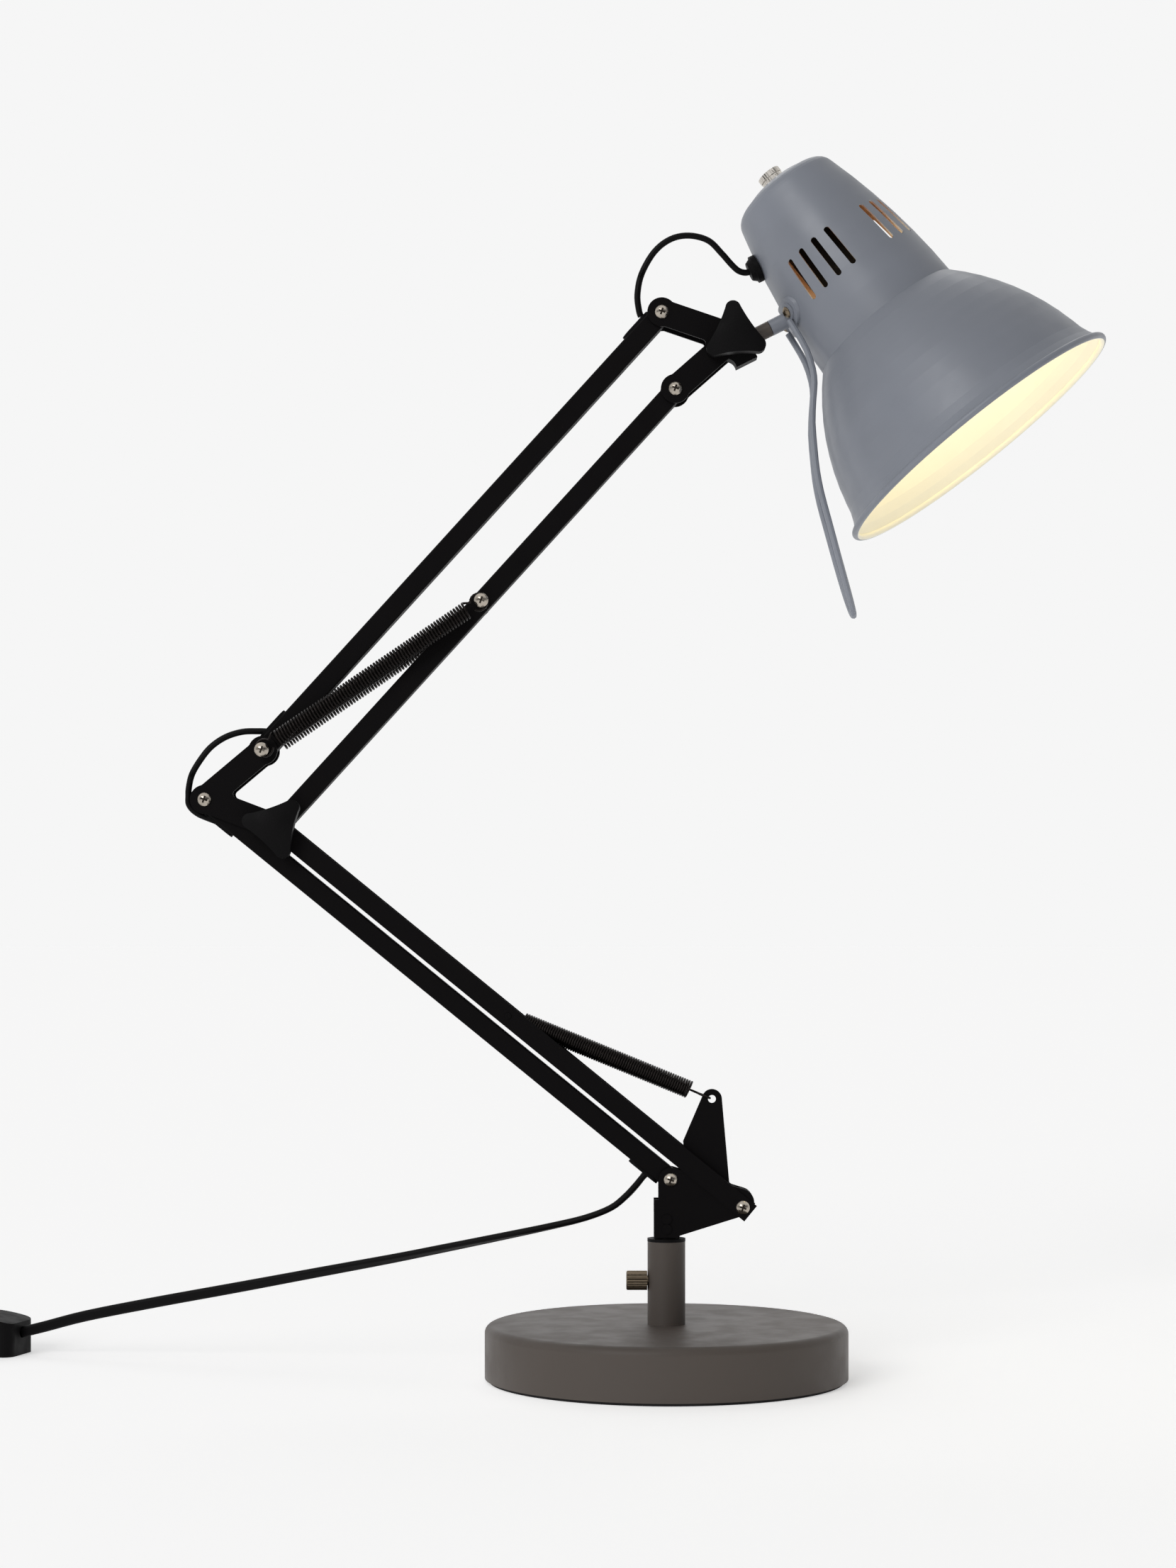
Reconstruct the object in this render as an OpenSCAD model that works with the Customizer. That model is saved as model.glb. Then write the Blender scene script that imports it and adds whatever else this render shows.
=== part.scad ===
// Swing arm desk lamp: a weighted round base with a short stem, two parallelogram
// arms of square tube balanced by springs, and a bell shade on a tilting, turning
// spigot. Millimetres, +Z up, origin at the centre of the base's underside. The arms
// move in the XZ plane, and the near side is -Y.

/* [Base and stem] */
// Diameter of the round base
base_d = 183; // [160:1:210]
// Height of the base cover above its pad
base_h = 26.5; // [22:0.5:34]
// Radius rolled round the top edge of the cover
base_edge_r = 4; // [2:0.5:6]
// Sheet thickness of the base cover
base_wall = 1.2; // [0.8:0.1:2]
// Thickness of the soft pad under the base
pad_t = 1.5; // [1:0.5:3]
// Outside diameter of the stem tube
stem_d = 19; // [18:0.5:22]
// Wall of the stem tube
stem_wall = 1.5; // [1:0.1:2]
// Length of the stem tube above the base
stem_l = 41.8; // [38:0.2:60]
// Thickness of the bush flange on top of the stem
bush_flange_t = 1.5; // [1:0.1:3]
// Diameter of the turning pin that stands in the bush
spigot_d = 12.6; // [11:0.1:13]
// Height of the thumb screw above the base cover
thumb_h = 22; // [18:0.5:24]
// Diameter of the thumb screw's knurled head
thumb_head_d = 9.8; // [8:0.2:14]
// Length of the thumb screw's knurled head
thumb_head_l = 10.5; // [8:0.5:16]
// Diameter of the thumb screw's thread
thumb_d = 5; // [4:0.5:6]
// Diameter of the bolt that holds the stem to the weight
stem_bolt_d = 8; // [6:1:9]

/* [Arms] */
// Width across the square arm tubes
tube_w = 10; // [9:0.5:12]
// Wall of the square arm tubes
tube_wall = 1; // [0.8:0.1:1.5]
// Length of the lower arm between its pivots
lower_l = 302; // [260:1:340]
// Angle of the lower arm above +X
lower_angle = 140.8; // [136:0.2:142]
// Length of the upper arm between its pivots
upper_l = 297.5; // [260:0.5:340]
// Angle of the upper arm above +X
upper_angle = 47.7; // [40:0.1:60]
// How far a tube runs on past its pivot
tube_end = 5; // [4:0.5:8]
// Sheet thickness of the channel that is the second lower arm
channel_wall = 1; // [0.8:0.1:1.5]
// Length of the channel's open fork at the base bracket
channel_fork = 68; // [66:1:90]
// Length of the channel's open fork at the elbow
channel_elbow_fork = 14; // [12:1:30]

/* [Brackets] */
// Thickness of the bracket plates
plate_t = 1.5; // [1:0.1:2]
// Gap between faces that move past each other
side_gap = 0.3; // [0.25:0.05:0.5]
// Height of the lower arm's pivot above the stem tube
yoke_rise = 31.4; // [29:0.2:36]
// How far the lower arm's pivot stands from the stem's axis
yoke_x = 2; // [0:0.5:4]
// Distance between the two lower pivots
pivot_gap = 38.7; // [36:0.1:42]
// Angle of the line through the two lower pivots
pivot_tilt = -20.9; // [-22:0.1:-18]
// Distance between the elbow's two driven pivots
elbow_gap = 38.3; // [36:0.1:42]
// Angle of the line through the elbow's two driven pivots
elbow_tilt = 40; // [36:1:46]
// Distance from the head bracket's upper pivot to its clamp bolt
head_gap = 38.5; // [37:0.1:42]
// Angle of the head bracket's upper arm
head_angle = -18.8; // [-24:0.2:-12]
// Width of a bracket arm
bracket_w = 12.8; // [12:0.2:14]
// Radius of the lobe round a pivot
lobe_r = 7.3; // [6.8:0.1:8]
// Diameter of the pivot screws
pivot_d = 4; // [3:0.5:5]
// Diameter of a pivot screw's pan head
pan_d = 6.8; // [6.4:0.2:8]
// Diameter of the bolts under the triangular knobs
clamp_d = 5; // [4:0.5:6]

/* [Springs] */
// Outside diameter of the springs
spring_d = 9.4; // [8:0.2:10]
// Diameter of the spring wire
spring_wire = 1.2; // [1:0.1:1.3]
// Coils in the lower spring
lower_coils = 68; // [30:1:70]
// Coils in each upper spring
upper_coils = 69; // [30:1:72]
// Distance from the base pivot to the lower spring's anchor on the channel
lower_anchor = 152; // [140:1:170]
// Distance from the elbow pivot to the upper springs' anchor
upper_anchor = 153; // [140:1:170]
// Distance of each upper spring from the middle plane
spring_y = 12; // [11.6:0.1:14]
// Diameter of the screw heads that hold the upper springs
spring_head_d = 7.2; // [7:0.2:12]
// Height of the spring ear's hole above the second lower pivot
ear_rise = 54; // [50:1:60]
// How far the spring ear's hole stands back from the second lower pivot
ear_back = 15.2; // [14:0.2:17]

/* [Knobs] */
// Radius from a triangular knob's centre to its rounded corners
knob_r = 16.6; // [14:0.2:20]
// Thickness of a knob's triangular body
knob_t = 9.5; // [7:0.5:14]
// Radius of a knob's corners
knob_corner_r = 3.8; // [3:0.2:5]
// Diameter of the collar on the back of a knob
knob_hub_d = 13; // [11:0.5:15]

/* [Head] */
// Angle of the spigot above +X
spigot_angle = 26.7; // [20:0.1:34]
// How far the spigot's axis lies below the clamp bolt
spigot_drop = 3.5; // [0:0.5:5]
// Diameter of the steel stub
stub_d = 7.8; // [6:0.1:8]
// Diameter of the pin on the stub that carries the shade
stub_pin_d = 5; // [4:0.1:5.4]
// Diameter of the tube that turns on the pin
swivel_tube_d = 8; // [7:0.1:9]
// Distance from the clamp bolt to the shade's wall along the spigot
spigot_reach = 28.6; // [28:0.2:36]
// Angle between the spigot and the shade's axis
shade_angle = 79.3; // [72:0.1:86]
// How far the shade is turned on the spigot
shade_turn = -5.8; // [-20:0.2:20]
// Diameter of the wire handle
handle_d = 3.2; // [3:0.1:4]
// Distance between the handle's screws
handle_w = 25; // [22:0.5:30]

/* [Shade] */
// Sheet thickness of the shade
shade_wall = 0.8; // [0.6:0.1:1.2]
// Radius of the shade at its shoulder, below the cap
shoulder_r = 28.6; // [27:0.2:32]
// Radius of the shade where the neck meets the bell
neck_r = 40.5; // [38:0.5:44]
// Radius of the rim, to the middle of its rolled bead
rim_r = 77.6; // [70:0.2:90]
// Height of the cap, from its top to the shoulder
cap_h = 10.5; // [9:0.5:13]
// Length of the neck, from the shoulder to the bell
neck_l = 82; // [78:0.5:95]
// Length of the bell, from the neck to the rim
bell_l = 74.8; // [65:0.2:90]
// Radius of the rolled bead at the rim
bead_r = 1.7; // [1.2:0.1:2.2]
// Width of a vent slot
slot_w = 3; // [2:0.2:4]
// Length of a vent slot
slot_l = 24; // [16:1:26]
// Angle between neighbouring vent slots
slot_step = 13.2; // [12:0.2:16]
// Diameter of the lampholder's skirt
holder_d = 38; // [34:1:40]
// Length of the lampholder
holder_l = 63; // [40:1:66]
// Diameter of the bulb's globe
bulb_d = 55; // [45:1:56]

/* [Cord] */
// Diameter of the cord loops along the arms
loop_d = 3.2; // [3:0.1:3.8]
// Width of the flat supply cord
cord_w = 5.8; // [4.8:0.1:6.4]
// Thickness of the flat supply cord
cord_t = 3.2; // [2.6:0.1:4]
// Length of the in-line switch
switch_l = 62; // [50:1:80]
// Width of the in-line switch
switch_w = 30; // [24:1:36]
// Height of the in-line switch
switch_h = 22; // [20:1:26]

/* [Hidden] */
$fn = 64;

satin_grey = [0.56, 0.58, 0.61];
warm_grey = [0.50, 0.47, 0.45];
arm_black = [0.10, 0.09, 0.10];
plastic_black = [0.07, 0.07, 0.08];
nickel = [0.78, 0.74, 0.68];
steel = [0.45, 0.43, 0.41];

// Clearances
running = 0.05;    // radial clearance of a pin that turns in its bore
loose = 0.25;      // radial clearance where a linkage loop is left open
cover_gap = 0.3;   // between the weight and the cover's side
stand_off = 0.2;   // between a screw head and the face that it turns against

// Layers of the arms, as distances from the middle plane
tube_half = tube_w / 2;
plate_in = tube_half + side_gap;
plate_out = plate_in + plate_t;
channel_in = plate_out + side_gap;
channel_out = channel_in + channel_wall;
hook_half = spring_wire / 2;
anchor_out = spring_y + hook_half + side_gap;

// Heights in the base
cover_z = pad_t;
cover_top = pad_t + base_h;
stem_top = cover_top + stem_l;
stem_in_r = stem_d / 2 - stem_wall;
plug_l = 9;
bush_l = stem_l - plug_l - 1;

// Pivots. P1 and P2 are on the base bracket, E1 to E3 on the elbow, and H1, H2
// and K on the head bracket. Each pair of arms is a parallelogram.
function along(a) = [cos(a), 0, sin(a)];
function across(a) = [-sin(a), 0, cos(a)];
P1 = [yoke_x, 0, stem_top + yoke_rise];
P2 = P1 + pivot_gap * along(pivot_tilt);
E1 = P1 + lower_l * along(lower_angle);
E2 = P2 + lower_l * along(lower_angle);
E3 = E1 + elbow_gap * along(elbow_tilt);
H1 = E3 + upper_l * along(upper_angle);
H2 = E2 + upper_l * along(upper_angle);
K = H1 + head_gap * along(head_angle);
// Start of the spigot's axis, beside the clamp bolt
P0 = K - spigot_drop * across(spigot_angle);
// Spring ends
S1 = P2 + [-ear_back, 0, ear_rise];
S2 = P2 + lower_anchor * along(lower_angle);
S4 = E2 + upper_anchor * along(upper_angle);

// ---------------------------------------------------------------- helpers

function unit(v) = v / norm(v);
function xz(p) = [p[0], p[2]];

// Directions along a path, and side directions carried along it without twist
function path_directions(p) = [
    for (i = [0:len(p) - 1]) unit(p[min(i + 1, len(p) - 1)] - p[max(i - 1, 0)])
];
function any_side(t) = unit(cross(t, abs(t[1]) < 0.8 ? [0, 1, 0] : [1, 0, 0]));
function path_sides(t) = [
    for (i = 0, s = any_side(t[0]); i < len(t);
         i = i + 1, s = unit(s - (s * t[min(i, len(t) - 1)]) * t[min(i, len(t) - 1)])) s
];

// A rod swept along a list of points. Its section is round, or oval where a second
// radius is given for the direction across the path's plane.
module rod(path, radius, sides = 8, radius_across = 0) {
    other = radius_across > 0 ? radius_across : radius;
    t = path_directions(path);
    s = path_sides(t);
    rings = len(path);
    points = [
        for (i = [0:rings - 1], k = [0:sides - 1])
            path[i] + radius * cos(360 * k / sides) * s[i]
                + other * sin(360 * k / sides) * cross(t[i], s[i])
    ];
    walls = [
        for (i = [0:rings - 2], k = [0:sides - 1], half = [0, 1])
            let (a = i * sides + k, b = i * sides + (k + 1) % sides)
            half == 0 ? [a, a + sides, b + sides] : [a, b + sides, b]
    ];
    start = [for (k = [0:sides - 1]) k];
    end = [for (k = [sides - 1:-1:0]) (rings - 1) * sides + k];
    polyhedron(points, concat([start], walls, [end]), convexity = 6);
}

// A smooth curve through hand-placed points, with n steps between neighbours
function curve_point(a, b, c, d, t) = 0.5 * (2 * b + (c - a) * t
    + (2 * a - 5 * b + 4 * c - d) * t * t + (3 * b - a - 3 * c + d) * t * t * t);
function curve(p, n) = concat([
    for (i = [0:len(p) - 2], k = [0:n - 1])
        curve_point(p[max(i - 1, 0)], p[i], p[i + 1], p[min(i + 2, len(p) - 1)], k / n)
], [p[len(p) - 1]]);

// Points of an arc from p to q that bulges by rise to the right of the way there, or
// to its left if rise is below zero
function arc_between(p, q, rise, n) =
    let (c = norm(q - p), h = abs(rise), r = c * c / (8 * h) + h / 2,
         d = (q - p) / c, out = sign(rise) * [d[1], -d[0]],
         middle = (p + q) / 2 - out * (r - h), half = asin(c / (2 * r)))
    [for (i = [0:n]) let (a = half * (2 * i / n - 1))
        middle + r * (out * cos(a) + d * sin(a))];

// Flat sheet with its outline in X and Z, from y to y + t
module sheet_xz(y, t) {
    translate([0, y + t, 0]) rotate([90, 0, 0]) linear_extrude(t) children();
}

// A pair of like sheets, one on each side of the middle plane
module both_sides(inner, t) {
    sheet_xz(inner, t) children();
    sheet_xz(-inner - t, t) children();
}

// A straight bracket arm between two pivots, with a round lobe at each
module bracket_arm(a, b, lobe_a, lobe_b) {
    d = xz(b) - xz(a);
    translate(xz(a)) circle(r = lobe_a, $fn = 40);
    translate(xz(b)) circle(r = lobe_b, $fn = 40);
    translate(xz(a)) rotate(atan2(d[1], d[0]))
        translate([0, -bracket_w / 2]) square([norm(d), bracket_w]);
}

// Rounds the inner corners of an outline
module soften(r) {
    offset(r = -r, $fn = 24) offset(delta = r) children();
}

module bore_y(p, r) {
    translate([p[0], -40, p[2]]) rotate([-90, 0, 0]) cylinder(r = r, h = 80);
}

// Cylinder along Y, from y0 to y1
module rod_y(p, r, y0, y1) {
    translate([p[0], y0, p[2]]) rotate([-90, 0, 0]) cylinder(r = r, h = y1 - y0);
}

pan_h = 2.4;
nut_w = 7;
nut_h = 3.2;

// Pan-head screw along Y with its head on the near side
module pan_screw(p, d, head_y, end_y, head_d = pan_d) {
    dome_r = head_d * 0.62;
    difference() {
        union() {
            rod_y(p, d / 2, head_y - 0.5, end_y);
            intersection() {
                rod_y(p, head_d / 2, head_y - pan_h, head_y);
                translate([p[0], head_y - pan_h + dome_r, p[2]]) sphere(r = dome_r);
            }
        }
        for (a = [0, 90]) translate([p[0], head_y - pan_h, p[2]]) rotate([0, a + 20, 0])
            cube([head_d * 0.5, 2, 0.9], center = true);
    }
}

// Hexagon nut on the far side of a screw
module far_nut(p, d, y) {
    translate([p[0], y, p[2]]) rotate([-90, 0, 0]) difference() {
        cylinder(d = nut_w / cos(30), h = nut_h, $fn = 6);
        translate([0, 0, -1]) cylinder(d = d, h = nut_h + 2);
    }
}

module sleeve_y(p, r_in, r_out, y0, y1) {
    difference() {
        rod_y(p, r_out, y0, y1);
        rod_y(p, r_in, y0 - 1, y1 + 1);
    }
}

// Outline of a round bar with V-shaped knurling
function knurl_outline(r, depth, n) = [
    for (i = [0:2 * n - 1]) let (a = 180 * i / n, q = i % 2 == 0 ? r : r - depth)
        [q * cos(a), q * sin(a)]
];

// ---------------------------------------------------------------- base

weight_r = base_d / 2 - base_wall - cover_gap;
weight_edge = max(base_edge_r - base_wall, 1);
groove_depth = 0.62 * (base_h - base_wall);   // ring cast out of the weight's underside
groove_rim = 9;
groove_hub = 24;

// Side view of a disc with one rounded upper edge
module disc_profile(r, z0, z1, edge) {
    square_h = z1 - z0 - edge;
    translate([0, z0]) square([r, square_h]);
    translate([0, z0]) square([r - edge, z1 - z0]);
    intersection() {
        translate([r - edge, z1 - edge]) circle(r = edge);
        translate([0, z0]) square([r, z1 - z0]);
    }
}

module base_weight() {
    head_room = 7;
    color("dimgray") difference() {
        rotate_extrude() disc_profile(weight_r, cover_z, cover_top - base_wall, weight_edge);
        translate([0, 0, -1]) cylinder(d = stem_bolt_d + 0.4, h = cover_top + 2);
        translate([0, 0, -1]) cylinder(d = stem_bolt_d * 2.4, h = cover_z + head_room + 1);
        translate([0, 0, cover_z - 1]) difference() {
            cylinder(r = weight_r - groove_rim, h = groove_depth + 1);
            translate([0, 0, -1]) cylinder(r = groove_hub, h = groove_depth + 3);
        }
    }
}

module base_cover() {
    color(warm_grey) difference() {
        rotate_extrude() difference() {
            disc_profile(base_d / 2, cover_z, cover_top, base_edge_r);
            disc_profile(base_d / 2 - base_wall, cover_z - 1, cover_top - base_wall,
                weight_edge);
        }
        cylinder(d = stem_bolt_d + 0.4, h = cover_top + 1);
    }
}

module base_pad() {
    pad_inset = 2;
    color(plastic_black) cylinder(r = base_d / 2 - pad_inset, h = pad_t);
}

module stem_tube() {
    thumb_z = cover_top + thumb_h;
    color(warm_grey) difference() {
        translate([0, 0, cover_top]) cylinder(d = stem_d, h = stem_l);
        translate([0, 0, cover_top - 1]) cylinder(r = stem_in_r, h = stem_l + 2);
        translate([0, 0, thumb_z]) rotate([0, -90, 0])
            cylinder(d = thumb_d + 0.2, h = stem_d);
    }
}

module stem_plug() {
    color(steel) translate([0, 0, cover_top]) difference() {
        cylinder(r = stem_in_r, h = plug_l);
        translate([0, 0, -1]) cylinder(d = stem_bolt_d, h = plug_l + 2);
    }
}

module stem_bolt() {
    head_h = 5.5;
    head_z = cover_z + 7 - head_h;
    color(steel) {
        translate([0, 0, head_z])
            cylinder(d = stem_bolt_d * 1.6 / cos(30), h = head_h, $fn = 6);
        translate([0, 0, head_z]) cylinder(d = stem_bolt_d, h = cover_top + plug_l - head_z);
    }
}

module stem_bush() {
    color(plastic_black) difference() {
        union() {
            translate([0, 0, stem_top - bush_l]) cylinder(r = stem_in_r, h = bush_l);
            translate([0, 0, stem_top]) cylinder(d = stem_d + 0.2, h = bush_flange_t);
        }
        translate([0, 0, stem_top - bush_l - 1])
            cylinder(d = spigot_d + 2 * running, h = bush_l + bush_flange_t + 2);
        translate([0, 0, cover_top + thumb_h]) rotate([0, -90, 0])
            cylinder(d = thumb_d + 0.2, h = stem_d);
    }
}

module stem_thumb_screw() {
    head_x = stem_d / 2 + stand_off;
    color(nickel) translate([0, 0, cover_top + thumb_h]) rotate([0, -90, 0]) {
        translate([0, 0, head_x]) difference() {
            linear_extrude(thumb_head_l)
                polygon(knurl_outline(thumb_head_d / 2, 0.35, 24));
            translate([0, 0, thumb_head_l - 0.6]) difference() {
                cylinder(d = thumb_head_d + 2, h = 1);
                translate([0, 0, -0.1])
                    cylinder(d1 = thumb_head_d + 0.3, d2 = thumb_head_d - 2.3, h = 1.3);
            }
        }
        translate([0, 0, spigot_d / 2 + stand_off])
            cylinder(d = thumb_d, h = head_x - spigot_d / 2 + 0.5);
    }
}

// ---------------------------------------------------------------- base bracket

yoke_foot_z = stem_top + bush_flange_t + 0.6;
yoke_lobe = 6;
second_lobe = [P2[0] - 1, P2[2] + 2.4];
second_lobe_r = 6.8;
block_w = spigot_d;
block_h = 12.5;

// Points of an arc about a centre, from one angle to another in n steps
function arc_points(centre, r, from, to, n) =
    [for (i = [0:n]) let (a = from + (to - from) * i / n) centre + r * [cos(a), sin(a)]];

module yoke_outline() {
    step_z = P1[2] - 10;
    left = -block_w / 2;
    polygon(concat(
        [[left, yoke_foot_z], [left, step_z], [P1[0] - yoke_lobe, step_z]],
        arc_points(xz(P1), yoke_lobe, 180, 90 + pivot_tilt, 12),
        arc_points(second_lobe, second_lobe_r, 90 + pivot_tilt, -75, 16),
        [[block_w / 2 + 0.3, yoke_foot_z + 1.2], [block_w / 2, yoke_foot_z]]));
}

rivet_z = [yoke_foot_z + 4.5, yoke_foot_z + 9.5];
rivet_r = 1.5;

module yoke_plates() {
    color(arm_black) difference() {
        both_sides(plate_in, plate_t) yoke_outline();
        bore_y(P1, pivot_d / 2);
        bore_y(P2, pivot_d / 2);
        for (z = rivet_z) bore_y([0, 0, z], rivet_r);
    }
}

ear_t = 2;

// Pin that turns in the stem, with a squared head between the bracket plates
module yoke_spigot() {
    color(arm_black) difference() {
        union() {
            translate([0, 0, stem_top - bush_l + 2])
                cylinder(d = spigot_d, h = yoke_foot_z - stem_top + bush_l - 2);
            translate([0, 0, stem_top]) cylinder(r = plate_in, h = yoke_foot_z - stem_top + 1);
            translate([-block_w / 2, -plate_in, yoke_foot_z])
                cube([block_w, 2 * plate_in, block_h]);
        }
        for (z = rivet_z) bore_y([0, 0, z], rivet_r);
        translate([0, -ear_t / 2, yoke_foot_z + 1]) cube([block_w, ear_t, block_h]);
    }
}

ear_tip_r = 5;
ear_hole_r = 2;

// Tall plate that the lower spring hooks on
module ear_outline() {
    left_foot = [P1[0] + lobe_r + 1.2, P1[2] - 2];
    translate(xz(S1)) circle(r = ear_tip_r, $fn = 40);
    translate(second_lobe) circle(r = second_lobe_r, $fn = 40);
    polygon([
        xz(S1) + ear_tip_r * [-0.89, 0.46], [P1[0] + tube_half + 1.4, P1[2] + 19],
        left_foot, [block_w / 2, yoke_foot_z + block_h],
        [block_w / 2 - 3, yoke_foot_z + block_h], [block_w / 2 - 3, yoke_foot_z + 1.6],
        second_lobe + second_lobe_r * [0.25, -0.968],
        second_lobe + second_lobe_r * [-0.2, 0.98],
        [P2[0] - 6.5, P2[2] + 12], xz(S1) + ear_tip_r * [1, 0]
    ]);
}

module spring_ear() {
    color(arm_black) difference() {
        sheet_xz(-ear_t / 2, ear_t) ear_outline();
        bore_y(P2, pivot_d / 2);
        bore_y(S1, ear_hole_r);
    }
}

module yoke_fasteners() {
    color(nickel) {
        pan_screw(P1, pivot_d, -plate_out, plate_out + nut_h + 1);
        far_nut(P1, pivot_d, plate_out);
        pan_screw(P2, pivot_d, -channel_out - stand_off, channel_out + nut_h + 1 + stand_off);
        far_nut(P2, pivot_d, channel_out + stand_off);
    }
    color(steel) {
        for (side = [-1, 1]) sleeve_y(P2, pivot_d / 2, 4,
            side < 0 ? -plate_in : ear_t / 2, side < 0 ? -ear_t / 2 : plate_in);
        for (z = rivet_z) {
            rod_y([0, 0, z], rivet_r, -plate_out - 0.6, plate_out + 0.6);
            rod_y([0, 0, z], rivet_r + 1, -plate_out - 0.8, -plate_out);
            rod_y([0, 0, z], rivet_r + 1, plate_out, plate_out + 0.8);
        }
    }
}

// ---------------------------------------------------------------- arms

// Square tube from its first pivot along +X, with bores at both pivots
module arm_tube(l, bore_a, bore_b) {
    corner = 0.8;
    inner = tube_w - 2 * tube_wall;
    difference() {
        translate([-tube_end, 0, 0]) rotate([90, 0, 90]) linear_extrude(l + 2 * tube_end)
            difference() {
                rounded_square(tube_w, corner);
                square([inner, inner], center = true);
            }
        bore_y([0, 0, 0], bore_a);
        bore_y([l, 0, 0], bore_b);
    }
}

module rounded_square(w, r) {
    square([w - 2 * r, w], center = true);
    square([w, w - 2 * r], center = true);
    for (x = [-1, 1], y = [-1, 1]) translate([x * (w / 2 - r), y * (w / 2 - r)])
        circle(r = r);
}

module place(p, a) {
    translate(p) rotate([0, -a, 0]) children();
}

// Cord guides sit on the outer face of a tube. The cord comes out at the mouth, and
// its bore leans towards the pivot where a loop starts there.
guide_start = 4;
guide_l = 18;
guide_w = 7.6;
guide_t = 1.4;
guide_slot_w = 4.6;
guide_slot_start = guide_start + 1.6;
loop_mouth = 9;
loop_lean = 62;
elbow_lean = 72;
supply_mouth = 11.3;

module stadium(x0, x1, w) {
    translate([x0 + w / 2, -w / 2]) square([x1 - x0 - w, w]);
    translate([x0 + w / 2, 0]) circle(d = w);
    translate([x1 - w / 2, 0]) circle(d = w);
}

module guide_slot() {
    translate([guide_slot_start, 0, tube_half - tube_wall])
        linear_extrude(tube_wall) stadium(0, guide_l - 3.2, guide_slot_w);
}

// Slots in the outer (+Z) wall of a tube, one near each end
module guide_slots(l) {
    for (z = [0, 0.5, -0.5]) translate([0, 0, z]) {
        guide_slot();
        translate([l, 0, 0]) mirror([1, 0, 0]) guide_slot();
    }
}

module cord_guide(mouth, lean, bore_d) {
    difference() {
        union() {
            translate([guide_start, 0, tube_half]) linear_extrude(guide_t)
                stadium(0, guide_l, guide_w);
            guide_slot();
        }
        translate([mouth, 0, tube_half + guide_t / 2]) rotate([0, -lean, 0])
            cylinder(d = bore_d, h = 30, center = true);
    }
}

// The guide at the far end of an arm
module loop_guide(l, lean) {
    translate([l, 0, 0]) mirror([1, 0, 0]) cord_guide(loop_mouth, lean, loop_d + 0.4);
}

// Cord inside a tube, against its outer wall
module inner_cord(l) {
    end = guide_slot_start + 12;
    translate([end, 0, tube_half - tube_wall - loop_d / 2 - 0.05]) rotate([0, 90, 0])
        cylinder(d = loop_d, h = l - 2 * end);
}

module lower_tube() {
    color(arm_black) place(P1, lower_angle) difference() {
        arm_tube(lower_l, pivot_d / 2 + running, pivot_d / 2 + running);
        guide_slots(lower_l);
    }
}

module lower_cord_guides() {
    color(plastic_black) place(P1, lower_angle) {
        cord_guide(supply_mouth, 0, cord_t + 0.2);
        loop_guide(lower_l, elbow_lean);
    }
}

module lower_inner_cord() {
    color(plastic_black) place(P1, lower_angle) inner_cord(lower_l);
}

// The second lower arm: a channel, open on its upper side, that straddles the
// base bracket, the spring ear, the spring and the elbow plates
module lower_channel() {
    color(arm_black) place(P2, lower_angle) difference() {
        translate([-tube_end, -channel_out, -tube_half])
            cube([lower_l + 2 * tube_end, 2 * channel_out, tube_w]);
        translate([-tube_end - 1, -channel_in, -tube_half - 1])
            cube([lower_l + 2 * tube_end + 2, 2 * channel_in, tube_w - channel_wall + 1]);
        translate([-tube_end - 1, -channel_in, -tube_half - 1])
            cube([channel_fork + tube_end + 1, 2 * channel_in, tube_w + 2]);
        translate([lower_l - channel_elbow_fork, -channel_in, -tube_half - 1])
            cube([channel_elbow_fork + tube_end + 1, 2 * channel_in, tube_w + 2]);
        bore_y([0, 0, 0], pivot_d / 2 + running);
        bore_y([lower_l, 0, 0], clamp_d / 2 + loose);
        bore_y([lower_anchor, 0, 0], anchor_r);
    }
}

anchor_r = 1.6;

module channel_pin() {
    color(steel) rod_y(S2, anchor_r, -channel_out - 0.6, channel_out + 0.6);
}

module upper_tube() {
    color(arm_black) place(E3, upper_angle) difference() {
        arm_tube(upper_l, pivot_d / 2 + running, pivot_d / 2 + running);
        guide_slots(upper_l);
    }
}

module upper_cord_guides() {
    color(plastic_black) place(E3, upper_angle) {
        cord_guide(loop_mouth, loop_lean, loop_d + 0.4);
        loop_guide(upper_l, loop_lean);
    }
}

module upper_inner_cord() {
    color(plastic_black) place(E3, upper_angle) inner_cord(upper_l);
}

module upper_link_tube() {
    color(arm_black) difference() {
        place(E2, upper_angle)
            arm_tube(upper_l, clamp_d / 2 + running, pivot_d / 2 + loose);
        bore_y(S4, pivot_d / 2);
    }
}

// Screw through the second upper arm that both upper springs hook on
module spring_screw() {
    color(nickel) {
        pan_screw(S4, pivot_d, -anchor_out, anchor_out + nut_h + 1, spring_head_d);
        far_nut(S4, pivot_d, anchor_out);
    }
    color(steel) for (side = [-1, 1]) sleeve_y(S4, pivot_d / 2, 3.2,
        side < 0 ? -spring_y + hook_half + side_gap : tube_half,
        side < 0 ? -tube_half : spring_y - hook_half - side_gap);
}

// ---------------------------------------------------------------- elbow

knob_lobe = 8;

module elbow_outline() {
    soften(2) {
        bracket_arm(E1, E3, lobe_r, lobe_r);
        bracket_arm(E1, E2, lobe_r, knob_lobe);
    }
}

module elbow_plates() {
    color(arm_black) difference() {
        both_sides(plate_in, plate_t) elbow_outline();
        bore_y(E1, pivot_d / 2);
        bore_y(E3, pivot_d / 2);
        bore_y(E2, clamp_d / 2);
    }
}

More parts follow.
